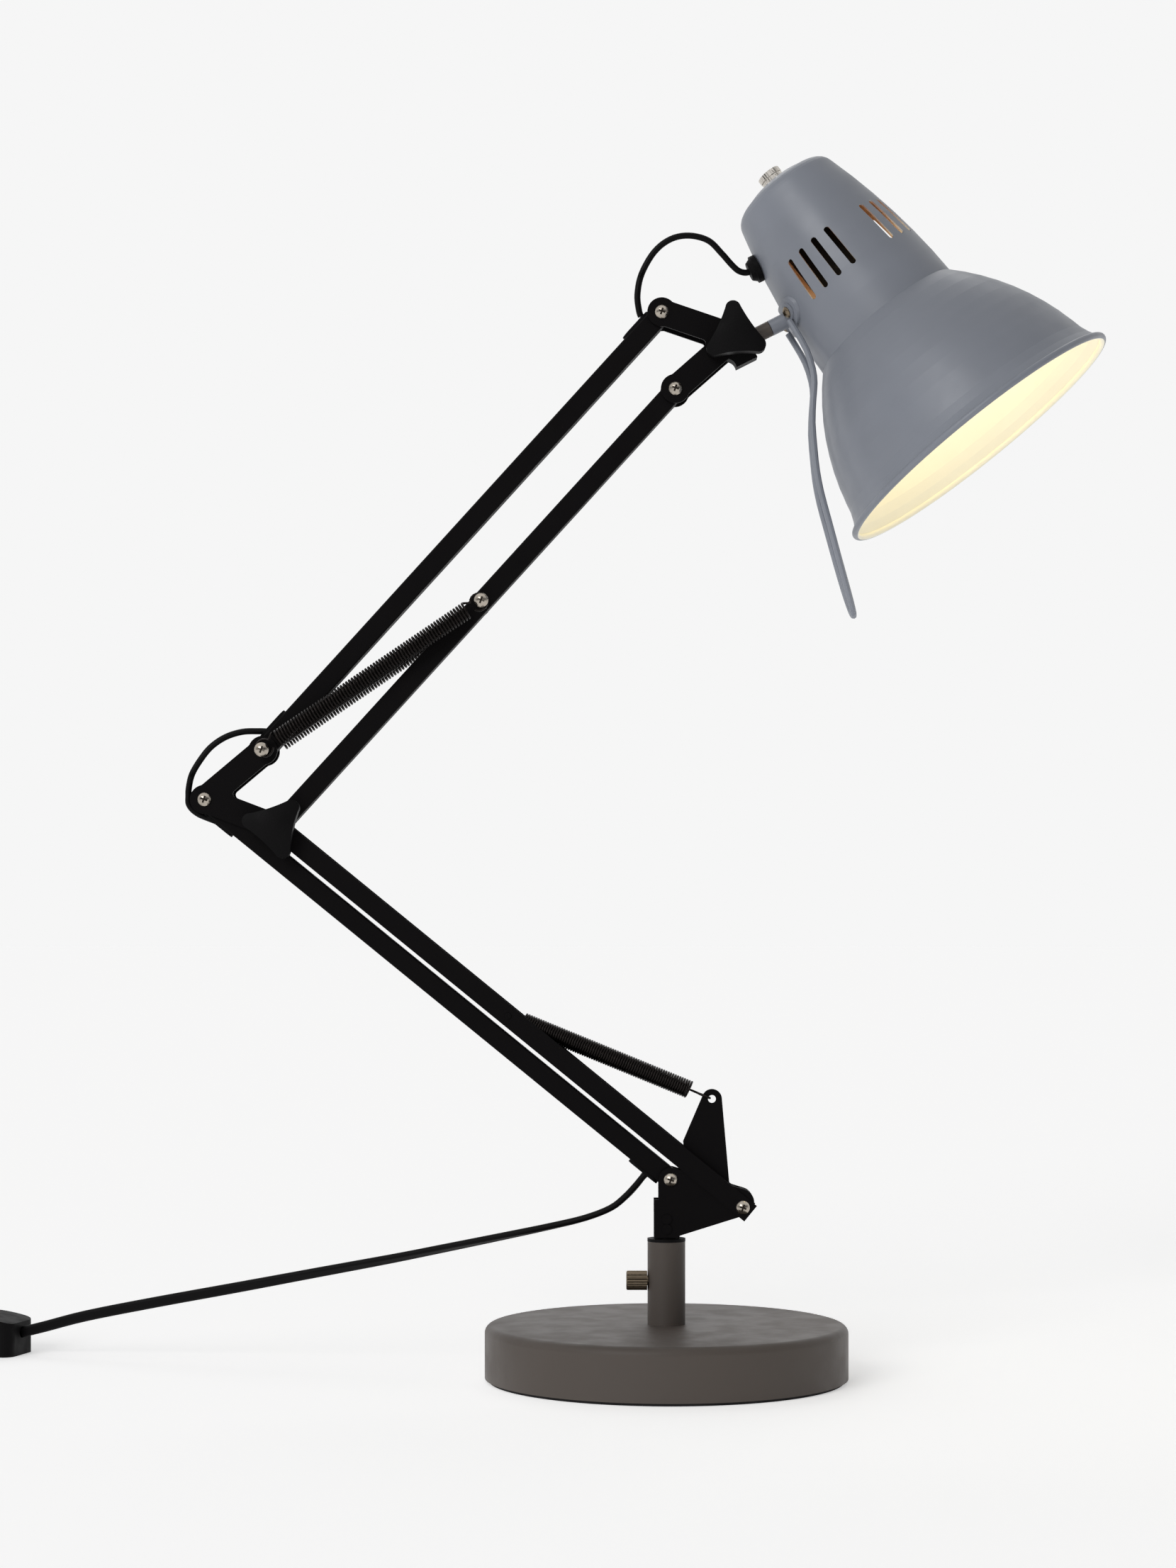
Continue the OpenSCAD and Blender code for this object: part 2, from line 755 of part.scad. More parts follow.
module elbow_fasteners() {
    color(nickel) {
        pan_screw(E1, pivot_d, -plate_out, plate_out + nut_h + 1);
        far_nut(E1, pivot_d, plate_out);
        pan_screw(E3, pivot_d, -anchor_out, anchor_out + nut_h + 1, spring_head_d);
        far_nut(E3, pivot_d, anchor_out);
    }
    color(steel) for (side = [-1, 1]) sleeve_y(E3, pivot_d / 2, 3.2,
        side < 0 ? -spring_y + hook_half + side_gap : plate_out,
        side < 0 ? -plate_out : spring_y - hook_half - side_gap);
}

// Bolt under a knob: head on the far side, thread in the knob on the near side
module knob_bolt(p, face_y, back_y) {
    head_h = 3.2;
    rod_y(p, clamp_d / 2, -face_y - knob_t + 1, back_y + 1);
    translate([p[0], back_y, p[2]]) rotate([-90, 0, 0])
        cylinder(d = clamp_d * 1.6 / cos(30), h = head_h, $fn = 6);
}

module elbow_bolt() {
    color(nickel) knob_bolt(E2, channel_out, channel_out + stand_off);
}

// Three-cornered outline with rounded corners and slightly hollowed sides
module knob_outline() {
    corner_at = knob_r - knob_corner_r;
    hollow = 0.9;
    function spoke(a, r) = [r * cos(a), r * sin(a)];
    for (a = [0, 120, 240]) translate(spoke(a, corner_at)) circle(r = knob_corner_r);
    polygon([for (a = [0, 120, 240])
        each arc_between(spoke(a, corner_at) + spoke(a + 60, knob_corner_r),
            spoke(a + 120, corner_at) + spoke(a + 60, knob_corner_r), -hollow, 8)]);
}

// Three-cornered knob with a crowned face. turn sets where its first corner points,
// and face_y is the face that it clamps on.
module knob(p, turn, face_y) {
    hub_t = 2;
    knob_crown_r = 46;
    back = face_y + stand_off;
    translate([p[0], -back, p[2]]) rotate([90, 0, 0]) rotate([0, 0, turn]) difference() {
        union() {
            cylinder(d = knob_hub_d, h = hub_t + 1);
            intersection() {
                translate([0, 0, hub_t]) linear_extrude(knob_t) knob_outline();
                rotate_extrude() polygon(concat([[0, hub_t - 1], [knob_r + 1, hub_t - 1]],
                    [for (i = [10:-1:0]) let (q = i * (knob_r + 1) / 10)
                        [q, hub_t + knob_t - knob_crown_r + sqrt(knob_crown_r ^ 2 - q ^ 2)]]));
            }
        }
        translate([0, 0, -1]) cylinder(r = clamp_d / 2 + running, h = hub_t + knob_t - 1);
    }
}

elbow_knob_turn = 168;
head_knob_turn = 95;

module elbow_knob() {
    color(plastic_black) knob(E2, elbow_knob_turn, channel_out);
}

// ---------------------------------------------------------------- springs

spring_eye_r = 4.3;    // mean radius of the eyes on the upper springs' screws
small_eye_r = 3.2;     // mean radius of the eyes on the lower spring
eye_play = 0.1;

// Ring of an eye, from its open side round to its open side. far points away from
// the coils, and v lies in the ring's plane.
function eye_ring(centre, r, far, v) = [
    for (i = [0:10]) let (q = 330 - 300 * i / 10)
        centre + r * (v * sin(q) - far * cos(q))
];

// Closed-wound spring from a to b, whose eyes have their centres at eye_a and eye_b
// and their planes along v_a and v_b. The coils start coil_end from each end.
module spring(a, b, coils, coil_end, eye_a, eye_b, r_a, r_b, v_a, v_b) {
    steps = 6;
    coil_r = (spring_d - spring_wire) / 2;
    axis = unit(b - a);
    side = [0, 1, 0];
    up = unit(cross(axis, side));
    body_l = norm(b - a) - 2 * coil_end;
    first = v_a == side ? 90 : 0;
    sweep = 360 * coils - first;
    turns = round(sweep * steps / 360);
    helix = [
        for (i = [0:turns]) let (q = first + sweep * i / turns)
            a + axis * (coil_end + body_l * i / turns)
                + coil_r * (up * cos(q) + side * sin(q))
    ];
    near_eye = eye_ring(eye_a, r_a, -axis, v_a);
    far_eye = eye_ring(eye_b, r_b, axis, v_b);
    rod(concat(near_eye, [a + axis * (coil_end - 1.4) + v_a * coil_r * 0.8], helix,
        [b - axis * (coil_end - 1.4) + v_b * coil_r * 0.8], reversed(far_eye)),
        spring_wire / 2, 4);
}

module lower_spring() {
    coil_end = 12.2;
    axis = unit(S2 - S1);
    up = unit(cross(axis, [0, 1, 0]));
    in_hole = S1 + axis * (ear_hole_r - spring_wire / 2 - 0.3);
    color(steel) spring(S1, S2, lower_coils, coil_end, in_hole + axis * small_eye_r,
        S2 - axis * (small_eye_r - spring_wire / 2 - anchor_r - eye_play),
        small_eye_r, small_eye_r, [0, 1, 0], up);
}

module upper_spring(y) {
    coil_end = 9;
    a = E3 + [0, y, 0];
    b = S4 + [0, y, 0];
    axis = unit(b - a);
    up = unit(cross(axis, [0, 1, 0]));
    hang = spring_eye_r - spring_wire / 2 - pivot_d / 2 - eye_play;
    color(steel) spring(a, b, upper_coils, coil_end, a + axis * hang, b - axis * hang,
        spring_eye_r, spring_eye_r, up, up);
}

module upper_spring_near() { upper_spring(-spring_y); }

module upper_spring_far() { upper_spring(spring_y); }

// ---------------------------------------------------------------- head bracket

module head_outline() {
    soften(2) {
        bracket_arm(H1, K, lobe_r, knob_lobe);
        bracket_arm(H2, K, lobe_r, knob_lobe);
    }
}

module head_plates() {
    color(arm_black) difference() {
        both_sides(plate_in, plate_t) head_outline();
        bore_y(H1, pivot_d / 2);
        bore_y(H2, pivot_d / 2);
        bore_y(K, clamp_d / 2);
    }
}

module head_fasteners() {
    color(nickel) for (p = [H1, H2]) {
        pan_screw(p, pivot_d, -plate_out, plate_out + nut_h + 1);
        far_nut(p, pivot_d, plate_out);
    }
}

module head_bolt() {
    color(nickel) knob_bolt(K, plate_out, plate_out);
}

module head_knob() {
    color(plastic_black) knob(K, head_knob_turn, plate_out);
}

module at_spigot() {
    place(P0, spigot_angle) children();
}

// Block that the head knob clamps, and the steel stub that stands in it
module clamp_block() {
    color(plastic_black) difference() {
        at_spigot() sheet_xz(-tube_half, tube_w) difference() {
            union() {
                translate([-8, -10.5]) square([14, 17]);
                translate([-1, 6.5]) circle(r = 7);
            }
            translate([-10.5, -9]) circle(r = 5);
        }
        bore_y(K, clamp_d / 2 + running);
        at_spigot() rotate([0, 90, 0]) cylinder(d = stub_d, h = 40);
    }
}

stub_l = 18.6;
bracket_t = 1.5;
pin_tip = spigot_reach - bracket_t - 1.2;
tube_start = stub_l + side_gap;

module stub_shaft() {
    color(steel) difference() {
        at_spigot() rotate([0, 90, 0]) {
            cylinder(d = stub_d, h = stub_l);
            cylinder(d = stub_pin_d, h = pin_tip);
        }
        bore_y(K, clamp_d / 2 + 0.4);
    }
}

// ---------------------------------------------------------------- shade

// Outline of the shade as points of radius and distance from the cap's top
shoulder = [shoulder_r, cap_h];
cap_edge = [shoulder_r - 6.1, cap_h - 5.9];
nipple_r = 5;
neck_end = [neck_r, cap_h + neck_l];
bell_end = [rim_r - 5.9, neck_end[1] + bell_l - 15.4];
bead_c = [rim_r, neck_end[1] + bell_l];
neck_bulge = 2.5;
bell_bulge = 4.5;
cap_line = arc_between([nipple_r + 0.3, 0], cap_edge, 0.6, 3);
shoulder_line = arc_between(cap_edge, shoulder, 1.3, 5);
neck_line = arc_between(shoulder, neck_end, neck_bulge, 6);
bell_line = arc_between(neck_end, bell_end, bell_bulge, 8);
flare_line = arc_between(bell_end, bead_c - [0.4, 1], -0.9, 3);
function without_first(p) = [for (i = [1:len(p) - 1]) p[i]];
outer_line = concat(cap_line, without_first(shoulder_line), without_first(neck_line),
    without_first(bell_line), without_first(flare_line));

// The same outline moved inwards (or, below zero, outwards) by a wall
function moved_in(p, wall) = [
    for (i = [0:len(p) - 1])
        let (d = unit(p[min(i + 1, len(p) - 1)] - p[max(i - 1, 0)]))
        p[i] + wall * [-d[1], d[0]]
];
function reversed(p) = [for (i = [len(p) - 1:-1:0]) p[i]];

// Radius of the neck at a distance z from the cap, and the lean of its wall there
function neck_share(z) = (z - cap_h) / neck_l;
function neck_radius(z) = shoulder_r + (neck_r - shoulder_r) * neck_share(z)
    + 4 * neck_bulge * neck_share(z) * (1 - neck_share(z));
function neck_lean(z) = atan(((neck_r - shoulder_r)
    + 4 * neck_bulge * (1 - 2 * neck_share(z))) / neck_l);

// Distance from the cap to the bracket on the neck, and to where the spigot's line
// meets the shade's axis
bracket_z = 60.5;
station_r = neck_radius(bracket_z);
spigot_station = bracket_z + station_r / tan(shade_angle);
axis_at = spigot_reach + station_r / sin(shade_angle);

// Frame of everything that turns with the shade: +X along the spigot
module turned() {
    place(P0, spigot_angle) rotate([shade_turn, 0, 0]) children();
}

// Frame of the shade: +Z from the cap's top to the mouth, +X to the spigot's side
module in_shade() {
    turned() translate([axis_at, 0, 0]) rotate([0, 90 + shade_angle, 0])
        translate([0, 0, -spigot_station]) children();
}

slot_groups = [-67, 67, -144, 144];
slot_start = 44;

module shade_shell() {
    inner_line = moved_in(outer_line, shade_wall);
    color(satin_grey) in_shade() difference() {
        rotate_extrude() union() {
            polygon(concat(outer_line, reversed(inner_line)));
            translate(bead_c) circle(r = bead_r);
        }
        for (g = slot_groups, k = [-1.5:1.5]) rotate(g + k * slot_step)
            translate([shoulder_r - 8, 0, slot_start - slot_w / 2]) rotate([0, 90, 0])
                rotate(180) linear_extrude(24) stadium(0, slot_l, slot_w);
        translate([0, 0, gland_z]) rotate([0, 90, 0])
            cylinder(r = gland_hole_r, h = neck_r);
        for (side = [-1, 1]) bracket_hole(side);
    }
}

// Knurled double nut on the cap
module cap_nut() {
    nut_r = 6.2;
    color(nickel) in_shade() {
        for (z = [-2.2, -5.2]) translate([0, 0, z]) difference() {
            linear_extrude(z < -3 ? 2.7 : 2)
                polygon(knurl_outline(z < -3 ? nut_r : nut_r - 0.3, 0.3, 30));
            translate([0, 0, -1]) cylinder(r = nipple_r, h = 5);
        }
        translate([0, 0, -2.5]) difference() {
            cylinder(r = nut_r - 1, h = 0.3);
            translate([0, 0, -1]) cylinder(r = nipple_r, h = 3);
        }
    }
}

holder_z = 6;

module lampholder_nipple() {
    bore_r = 3.5;
    color(steel) in_shade() difference() {
        translate([0, 0, -5]) cylinder(r = nipple_r, h = holder_z + 9);
        translate([0, 0, -6]) cylinder(r = bore_r, h = holder_z + 11);
    }
}

bulb_cap_r = 13.2;

module lampholder() {
    color(plastic_black) in_shade() difference() {
        rotate_extrude() difference() {
            polygon(concat(
                [[0, holder_z]], arc_between([10, holder_z], [holder_d / 2 - 2, holder_z + 12],
                    2, 5),
                [[holder_d / 2 - 2, holder_z + 24], [holder_d / 2, holder_z + 25],
                 [holder_d / 2, holder_z + holder_l], [0, holder_z + holder_l]]));
            translate([0, holder_z + holder_l - 27]) square([bulb_cap_r + 0.6, 40]);
        }
        translate([0, 0, holder_z - 1]) cylinder(r = nipple_r, h = 5);
    }
}

bulb_z = holder_z + holder_l - 26;

module bulb_cap() {
    color(nickel) in_shade() difference() {
        union() {
            translate([0, 0, bulb_z]) cylinder(r1 = 4, r2 = bulb_cap_r - 1, h = 3.5);
            translate([0, 0, bulb_z + 3.5]) cylinder(r = bulb_cap_r, h = 22);
        }
        translate([0, 0, bulb_z + 6]) cylinder(r = bulb_cap_r - 0.6, h = 30);
    }
}

// Pear-shaped bulb, a thin shell that is open inside its cap
module bulb_glass() {
    glass = 0.8;
    start = bulb_z + 10;
    collar = bulb_cap_r - 0.8;
    globe_z = bulb_z + 25 + bulb_d * 0.78;
    globe_r = bulb_d / 2;
    tangent = 52;
    shoulder_at = [globe_r * sin(tangent), globe_z - globe_r * cos(tangent)];
    outside = concat([[collar, start]],
        arc_between([collar, bulb_z + 27], shoulder_at, -2, 6),
        [for (i = [1:13]) let (q = tangent + (180 - tangent) * i / 14)
            [globe_r * sin(q), globe_z - globe_r * cos(q)]]);
    color("lightyellow") in_shade() rotate_extrude() polygon(concat(outside,
        [[0, globe_z + globe_r], [0, globe_z + globe_r - glass]],
        reversed(moved_in(outside, glass))));
}

gland_z = 30.3;
gland_hole_r = 4.5;

// Cord gland through the neck, above the spigot
module cord_gland() {
    flange_r = 7;
    color(plastic_black) in_shade() translate([neck_radius(gland_z), 0, gland_z])
        rotate([0, 90 + neck_lean(gland_z), 0]) difference() {
            union() {
                translate([0, 0, -3]) cylinder(r = gland_hole_r - 0.5, h = 4);
                translate([0, 0, 0.25]) cylinder(r = flange_r, h = 2.6);
                translate([0, 0, 2.8]) cylinder(r1 = flange_r - 0.8, r2 = flange_r - 2.4, h = 2.6);
            }
            translate([0, 0, -4]) cylinder(d = loop_d + 0.2, h = 12);
        }
}

bracket_h = 14;
screw_r = 1.5;
seat_gap = 0.05;

// Hole axis of one handle screw, square to the neck's wall
module bracket_hole(side) {
    in_bracket_screw(side) translate([0, 0, -6]) cylinder(r = screw_r, h = 12);
}

screw_lean = asin(handle_w / 2 / station_r);

// Frame of one handle screw in the shade: +Z points out of the neck's wall
module in_bracket_screw(side) {
    translate([0, 0, bracket_z]) rotate(side * screw_lean)
        translate([station_r, 0, 0]) rotate([0, 90 + neck_lean(bracket_z), 0])
            children();
}

// Curved plate on the neck that carries the turning tube and the handle
module shade_bracket() {
    span = handle_w + bracket_h;
    seat = [for (p = neck_line) p];
    low = moved_in(seat, -seat_gap);
    high = moved_in(seat, -seat_gap - bracket_t);
    color(satin_grey) difference() {
        in_shade() intersection() {
            rotate_extrude() polygon(concat(low, reversed(high)));
            translate([0, 0, bracket_z]) rotate([0, 90, 0]) linear_extrude(60)
                rotate(90) translate([-span / 2, 0]) stadium(0, span, bracket_h);
        }
        in_shade() for (side = [-1, 1]) bracket_hole(side);
    }
}

// Tube that turns on the stub and is welded to the curved plate
module swivel_tube() {
    color(satin_grey) difference() {
        turned() rotate([0, 90, 0]) translate([0, 0, tube_start])
            cylinder(d = swivel_tube_d, h = spigot_reach - tube_start + 4);
        turned() rotate([0, 90, 0]) translate([0, 0, tube_start - 1])
            cylinder(r = stub_pin_d / 2 + running, h = pin_tip + 1.4 - tube_start);
        in_shade() rotate_extrude() polygon(concat([[0, 0]],
            moved_in(neck_line, -seat_gap - bracket_t), [[0, neck_end[1] + 1]]));
    }
}

module bracket_screws() {
    color(nickel) in_shade() for (side = [-1, 1]) in_bracket_screw(side) {
        translate([0, 0, -3]) cylinder(r = screw_r, h = 3 + bracket_t + handle_eye_t + 0.8);
        translate([0, 0, bracket_t + handle_eye_t + 0.1]) difference() {
            intersection() {
                cylinder(r = 2.9, h = 1.9);
                translate([0, 0, -1.6]) sphere(r = 3.5);
            }
            for (a = [0, 90]) translate([0, 0, 1.9]) rotate([0, 0, a + 30])
                cube([3.2, 0.7, 1.6], center = true);
        }
        translate([0, 0, -3]) cylinder(d = 5.5 / cos(30), h = 2, $fn = 6);
    }
}

handle_eye_t = 1.2;
// Handle route beside the shade, as distance along the spigot, height across it
// and half width
handle_route = [
    [27.3, -3.6, 12.5], [27.9, -11, 12.5], [28.2, -21, 12.5], [26.6, -31, 12.5],
    [24, -38, 12.5], [19.8, -45, 12.5], [14, -55.5, 12.5], [8.8, -68, 12.5],
    [5, -78, 12.5], [1.8, -89, 12.5], [-1.2, -103, 12.3], [-4.9, -120.5, 11.8],
    [-7.6, -134, 10.6], [-9.4, -143.5, 7.6], [-10.4, -149, 2.6]
];

module wire_handle() {
    near = [for (p = handle_route) [p[0], -p[2], p[1]]];
    far = [for (p = reversed(handle_route)) [p[0], p[2], p[1]]];
    color(satin_grey) {
        turned() rod(curve(concat(near, far), 2), handle_d / 2, 8);
        in_shade() for (side = [-1, 1]) in_bracket_screw(side)
            translate([0, 0, bracket_t]) difference() {
                cylinder(r = 4.3, h = handle_eye_t);
                translate([0, 0, -1]) cylinder(r = screw_r + 0.1, h = 4);
            }
    }
}

// ---------------------------------------------------------------- cords

// Route of the loop round the elbow, in X and Z from the pivot E1
elbow_route = [
    [6.9, -11.5], [3.4, -10.1], [-0.5, -8.6], [-3.8, -7.1], [-6.9, -4.7], [-8.7, -1.8],
    [-8.8, 1.7], [-8.6, 6.1], [-7.0, 12.9], [-2.8, 20.1], [2.6, 26.7], [10.0, 31.7],
    [18.4, 34.3], [26.5, 34.6], [30.2, 34.5]
];
// Route of the loop from the upper arm to the shade, in X and Z from the pivot H1
head_route = [
    [-10.4, -1.1], [-11.4, 2.3], [-12.1, 10.1], [-10.0, 20.4], [-3.6, 31.5],
    [4.6, 37.9], [13.9, 39.7], [23.6, 37.2], [30.4, 30.8], [35.4, 24.7], [40.0, 22.3]
];
// Route of the supply cord from the lower guide to the in-line switch, as shares of
// the whole way in X, Y and down
supply_start = P1 + [-12.9, 0, 2.1];
supply_end = [-341, 93, 12];
supply_shares = [
    [-0.0000, 0.0000, 0.0000], [0.0045, 0.0000, 0.0197], [0.0139, 0.0054, 0.0624],
    [0.0291, 0.0172, 0.1216], [0.0518, 0.0344, 0.1873], [0.0912, 0.0753, 0.2464],
    [0.1457, 0.1290, 0.2990], [0.2214, 0.2151, 0.3647], [0.3063, 0.3065, 0.4359],
    [0.3926, 0.3978, 0.5071], [0.5123, 0.5215, 0.5991], [0.6395, 0.6452, 0.6966],
    [0.7743, 0.7742, 0.7974], [0.8909, 0.8871, 0.8905], [0.9606, 0.9591, 0.9617],
    [1.0000, 1.0000, 1.0000]
];
supply_route = [for (q = supply_shares) supply_start + [
    q[0] * (supply_end[0] - supply_start[0]), q[1] * (supply_end[1] - supply_start[1]),
    q[2] * (supply_end[2] - supply_start[2])]];
// Route from the switch to the coil
lead_route = [[-400.8, 109.8, 12], [-410, 112.4, 9.6], [-422, 115.8, 5.6],
    [-433, 118.8, 3.6], [-444, 121.9, 3.2], [-453, 123.9, 3.2]];
// Route from the coil to the plug
plug_route = [[-466, 49.0, 3.2], [-458, 49.0, 3.2], [-450, 49.0, 4.2], [-442, 49.0, 6.2],
    [-436, 49.0, 7.1], [-430.1, 49.0, 7.1]];

module elbow_loop_cord() {
    color(plastic_black)
        rod(curve([for (p = elbow_route) E1 + [p[0], 0, p[1]]], 2), loop_d / 2, 8);
}

module head_loop_cord() {
    color(plastic_black)
        rod(curve([for (p = head_route) H1 + [p[0], 0, p[1]]], 2), loop_d / 2, 8);
}

module supply_cord() {
    color(plastic_black) rod(curve(supply_route, 3), cord_w / 2, 8, cord_t / 2);
}

module lead_cord() {
    color(plastic_black) rod(curve(lead_route, 2), cord_w / 2, 8, cord_t / 2);
}

module plug_cord() {
    color(plastic_black) rod(curve(plug_route, 2), cord_w / 2, 8, cord_t / 2);
}

coil_at = [-464, 87, 0];
coil_r = 30;
coil_bundle_w = 13;
coil_bundle_h = 14;

module cord_coil() {
    color(plastic_black) translate(coil_at) rotate_extrude()
        translate([coil_r, coil_bundle_h / 2]) bundle_outline(0);
}

// Round-cornered section of the coil's bundle of turns, grown by a margin
module bundle_outline(margin) {
    r = 4;
    w = coil_bundle_w + 2 * margin;
    h = coil_bundle_h + 2 * margin;
    square([w - 2 * r, h], center = true);
    square([w, h - 2 * r], center = true);
    for (x = [-1, 1], y = [-1, 1]) translate([x * (w / 2 - r), y * (h / 2 - r)])
        circle(r = r);
}

module coil_tie() {
    tie_w = 4;
    color(steel) translate(coil_at + [-coil_r, 0, coil_bundle_h / 2]) rotate([90, 0, 0])
        linear_extrude(tie_w, center = true) difference() {
            intersection() {
                bundle_outline(1);
                square([40, coil_bundle_h + 2], center = true);
            }
            bundle_outline(0.2);
            translate([-20, -coil_bundle_h / 2 - 5]) square([40, 5]);
        }
}

switch_mid = [-370.9, 101.4, 0];
switch_turn = 164.3;
switch_split = 11;

// A box with rounded upright edges, lying along X
module switch_box(z0, z1, edge) {
    translate([0, 0, z0]) linear_extrude(z1 - z0) offset(r = edge, $fn = 32)
        square([switch_l - 2 * edge, switch_w - 2 * edge], center = true);
}

rocker_l = 20;
rocker_w = 11;
rocker_r = 16;
rocker_axis_z = switch_h - 4;
cord_hole_z = 12;
crown_r = 110;

module switch_frame() {
    translate(switch_mid) rotate(switch_turn) children();
}

module cord_passage() {
    translate([0, 0, cord_hole_z]) for (side = [-1, 1]) translate([side * switch_l / 2, 0, 0])
        rotate([0, 90, 0]) cylinder(d = cord_w + 0.4, h = 18, center = true);
}

module switch_base() {
    color(plastic_black) switch_frame() difference() {
        switch_box(0, switch_split, 6);
        switch_box_inside();
        cord_passage();
    }
}

module switch_box_inside() {
    wall = 2;
    translate([-switch_l / 2 + wall + 9, -switch_w / 2 + wall, wall])
        cube([switch_l - 2 * wall - 18, switch_w - 2 * wall, switch_h - 5 - wall]);
}

module switch_cover() {
    color(plastic_black) switch_frame() difference() {
        intersection() {
            switch_box(switch_split, switch_h, 6);
            translate([0, 0, switch_h - crown_r]) rotate([90, 0, 0])
                cylinder(r = crown_r, h = switch_w, center = true, $fn = 96);
        }
        switch_box_inside();
        cord_passage();
        translate([-rocker_l / 2 - side_gap, -rocker_w / 2 - side_gap, 0])
            cube([rocker_l + 2 * side_gap, rocker_w + 2 * side_gap, switch_h + 5]);
    }
}

module switch_rocker() {
    tilt = 6;
    color([0.2, 0.2, 0.22]) switch_frame() translate([0, 0, rocker_axis_z]) rotate([0, tilt, 0])
        rotate([90, 0, 0]) linear_extrude(rocker_w, center = true) intersection() {
            translate([-rocker_l / 2 + 0.4, -2.5]) square([rocker_l - 0.8, 10]);
            difference() {
                translate([0, -rocker_r + 6]) circle(r = rocker_r);
                translate([0, 42 + 3.6]) circle(r = 42);
            }
        }
}

plug_at = [-430, 49.0, 7.1];

// Flat two-pin plug lying on its side
module plug_body() {
    color(plastic_black) translate(plug_at) rotate([90, 0, 90]) {
        cylinder(d1 = cord_w + 1, d2 = 10, h = 14);
        translate([0, 0, 14]) hull() {
            linear_extrude(1) stadium_centred(15, 11, 24);
            translate([0, 0, 24]) linear_extrude(1) stadium_centred(33, 14, 32);
        }
    }
}

module stadium_centred(w, h, sides) {
    for (x = [-1, 1]) translate([x * (w - h) / 2, 0]) circle(d = h, $fn = sides);
    square([w - h, h], center = true);
}

module plug_pins() {
    pin_gap = 18.6;
    pin_l = 19;
    color(nickel) translate(plug_at) rotate([90, 0, 90])
        for (x = [-1, 1]) translate([x * pin_gap / 2, 0, 39]) cylinder(d = 4, h = pin_l);
}

base_weight();
base_cover();
base_pad();
stem_tube();
stem_plug();
stem_bolt();
stem_bush();
stem_thumb_screw();
yoke_plates();
yoke_spigot();
spring_ear();
yoke_fasteners();
lower_spring();
lower_tube();
lower_cord_guides();
lower_inner_cord();
lower_channel();
channel_pin();
elbow_plates();
elbow_fasteners();
elbow_bolt();
elbow_knob();
upper_spring_near();
upper_spring_far();
elbow_loop_cord();
upper_tube();
upper_cord_guides();
upper_inner_cord();
upper_link_tube();
spring_screw();
head_plates();
head_fasteners();
head_bolt();
head_knob();
head_loop_cord();
clamp_block();
stub_shaft();
swivel_tube();
shade_bracket();
bracket_screws();
wire_handle();
shade_shell();
cap_nut();
lampholder_nipple();
lampholder();
bulb_cap();
bulb_glass();
cord_gland();
supply_cord();
lead_cord();
plug_cord();
cord_coil();
coil_tie();
switch_base();
switch_cover();
switch_rocker();
plug_body();
plug_pins();
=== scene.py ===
# %% [markdown]
# # A spring-balanced desk lamp
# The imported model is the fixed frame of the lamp: every tube, plate, bolt and screw is
# already in its place. This lesson adds what a solid can't show, such as wound springs,
# flexible cords, painted and plated finishes, and the light of the lamp.

# %% Load the frame
import math

import bmesh
import bpy
from mathutils import Matrix, Vector


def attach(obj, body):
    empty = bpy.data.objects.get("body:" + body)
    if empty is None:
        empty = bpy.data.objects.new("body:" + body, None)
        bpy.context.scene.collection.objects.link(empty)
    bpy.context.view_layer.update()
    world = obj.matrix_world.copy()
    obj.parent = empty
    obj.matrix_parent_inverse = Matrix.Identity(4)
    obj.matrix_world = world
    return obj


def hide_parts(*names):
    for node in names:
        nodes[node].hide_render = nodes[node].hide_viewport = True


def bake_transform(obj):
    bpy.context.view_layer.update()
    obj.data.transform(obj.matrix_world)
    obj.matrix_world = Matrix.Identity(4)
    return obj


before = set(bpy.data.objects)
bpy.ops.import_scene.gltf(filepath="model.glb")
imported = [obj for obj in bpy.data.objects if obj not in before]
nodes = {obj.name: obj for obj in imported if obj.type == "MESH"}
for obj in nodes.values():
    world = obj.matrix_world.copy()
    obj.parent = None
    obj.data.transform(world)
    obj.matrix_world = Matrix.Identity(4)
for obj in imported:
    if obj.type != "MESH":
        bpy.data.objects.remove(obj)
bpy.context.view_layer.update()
MM = 0.001

# %% [markdown]
# ## Where the pivots are
# The arms form two parallelograms. Their pivots, the spring anchors and the start of the
# spigot are worked out from the same lengths and angles as the model's source, so that a
# spring or a cord lands on its screw. Distances are in millimetres and angles in degrees.

# %% Pivots and the frame of the shade
def along(angle):
    """A step of 1 in the plane of the arms, at this angle from +X towards +Z."""
    a = math.radians(angle)
    return Vector((math.cos(a), 0, math.sin(a)))


LOWER_L, LOWER_ANGLE = 302, 140.8
UPPER_L, UPPER_ANGLE = 297.5, 47.7
# the short sides of the parallelograms: at the yoke, the elbow and the head
YOKE_L, YOKE_ANGLE = 38.7, -20.9
ELBOW_L, ELBOW_ANGLE = 38.3, 40
HEAD_L, HEAD_ANGLE = 38.5, -18.8
SPIGOT_ANGLE, SPIGOT_DROP = 26.7, 3.5
LOWER_ANCHOR, UPPER_ANCHOR = 152, 153

# pivots of the yoke, the elbow and the head, and the head's clamp bolt
P1 = Vector((2, 0, 101.2))
P2 = P1 + YOKE_L * along(YOKE_ANGLE)
E1 = P1 + LOWER_L * along(LOWER_ANGLE)
E2 = P2 + LOWER_L * along(LOWER_ANGLE)
E3 = E1 + ELBOW_L * along(ELBOW_ANGLE)
H1 = E3 + UPPER_L * along(UPPER_ANGLE)
H2 = E2 + UPPER_L * along(UPPER_ANGLE)
CLAMP = H1 + HEAD_L * along(HEAD_ANGLE)
SPIGOT_START = CLAMP - SPIGOT_DROP * along(SPIGOT_ANGLE + 90)
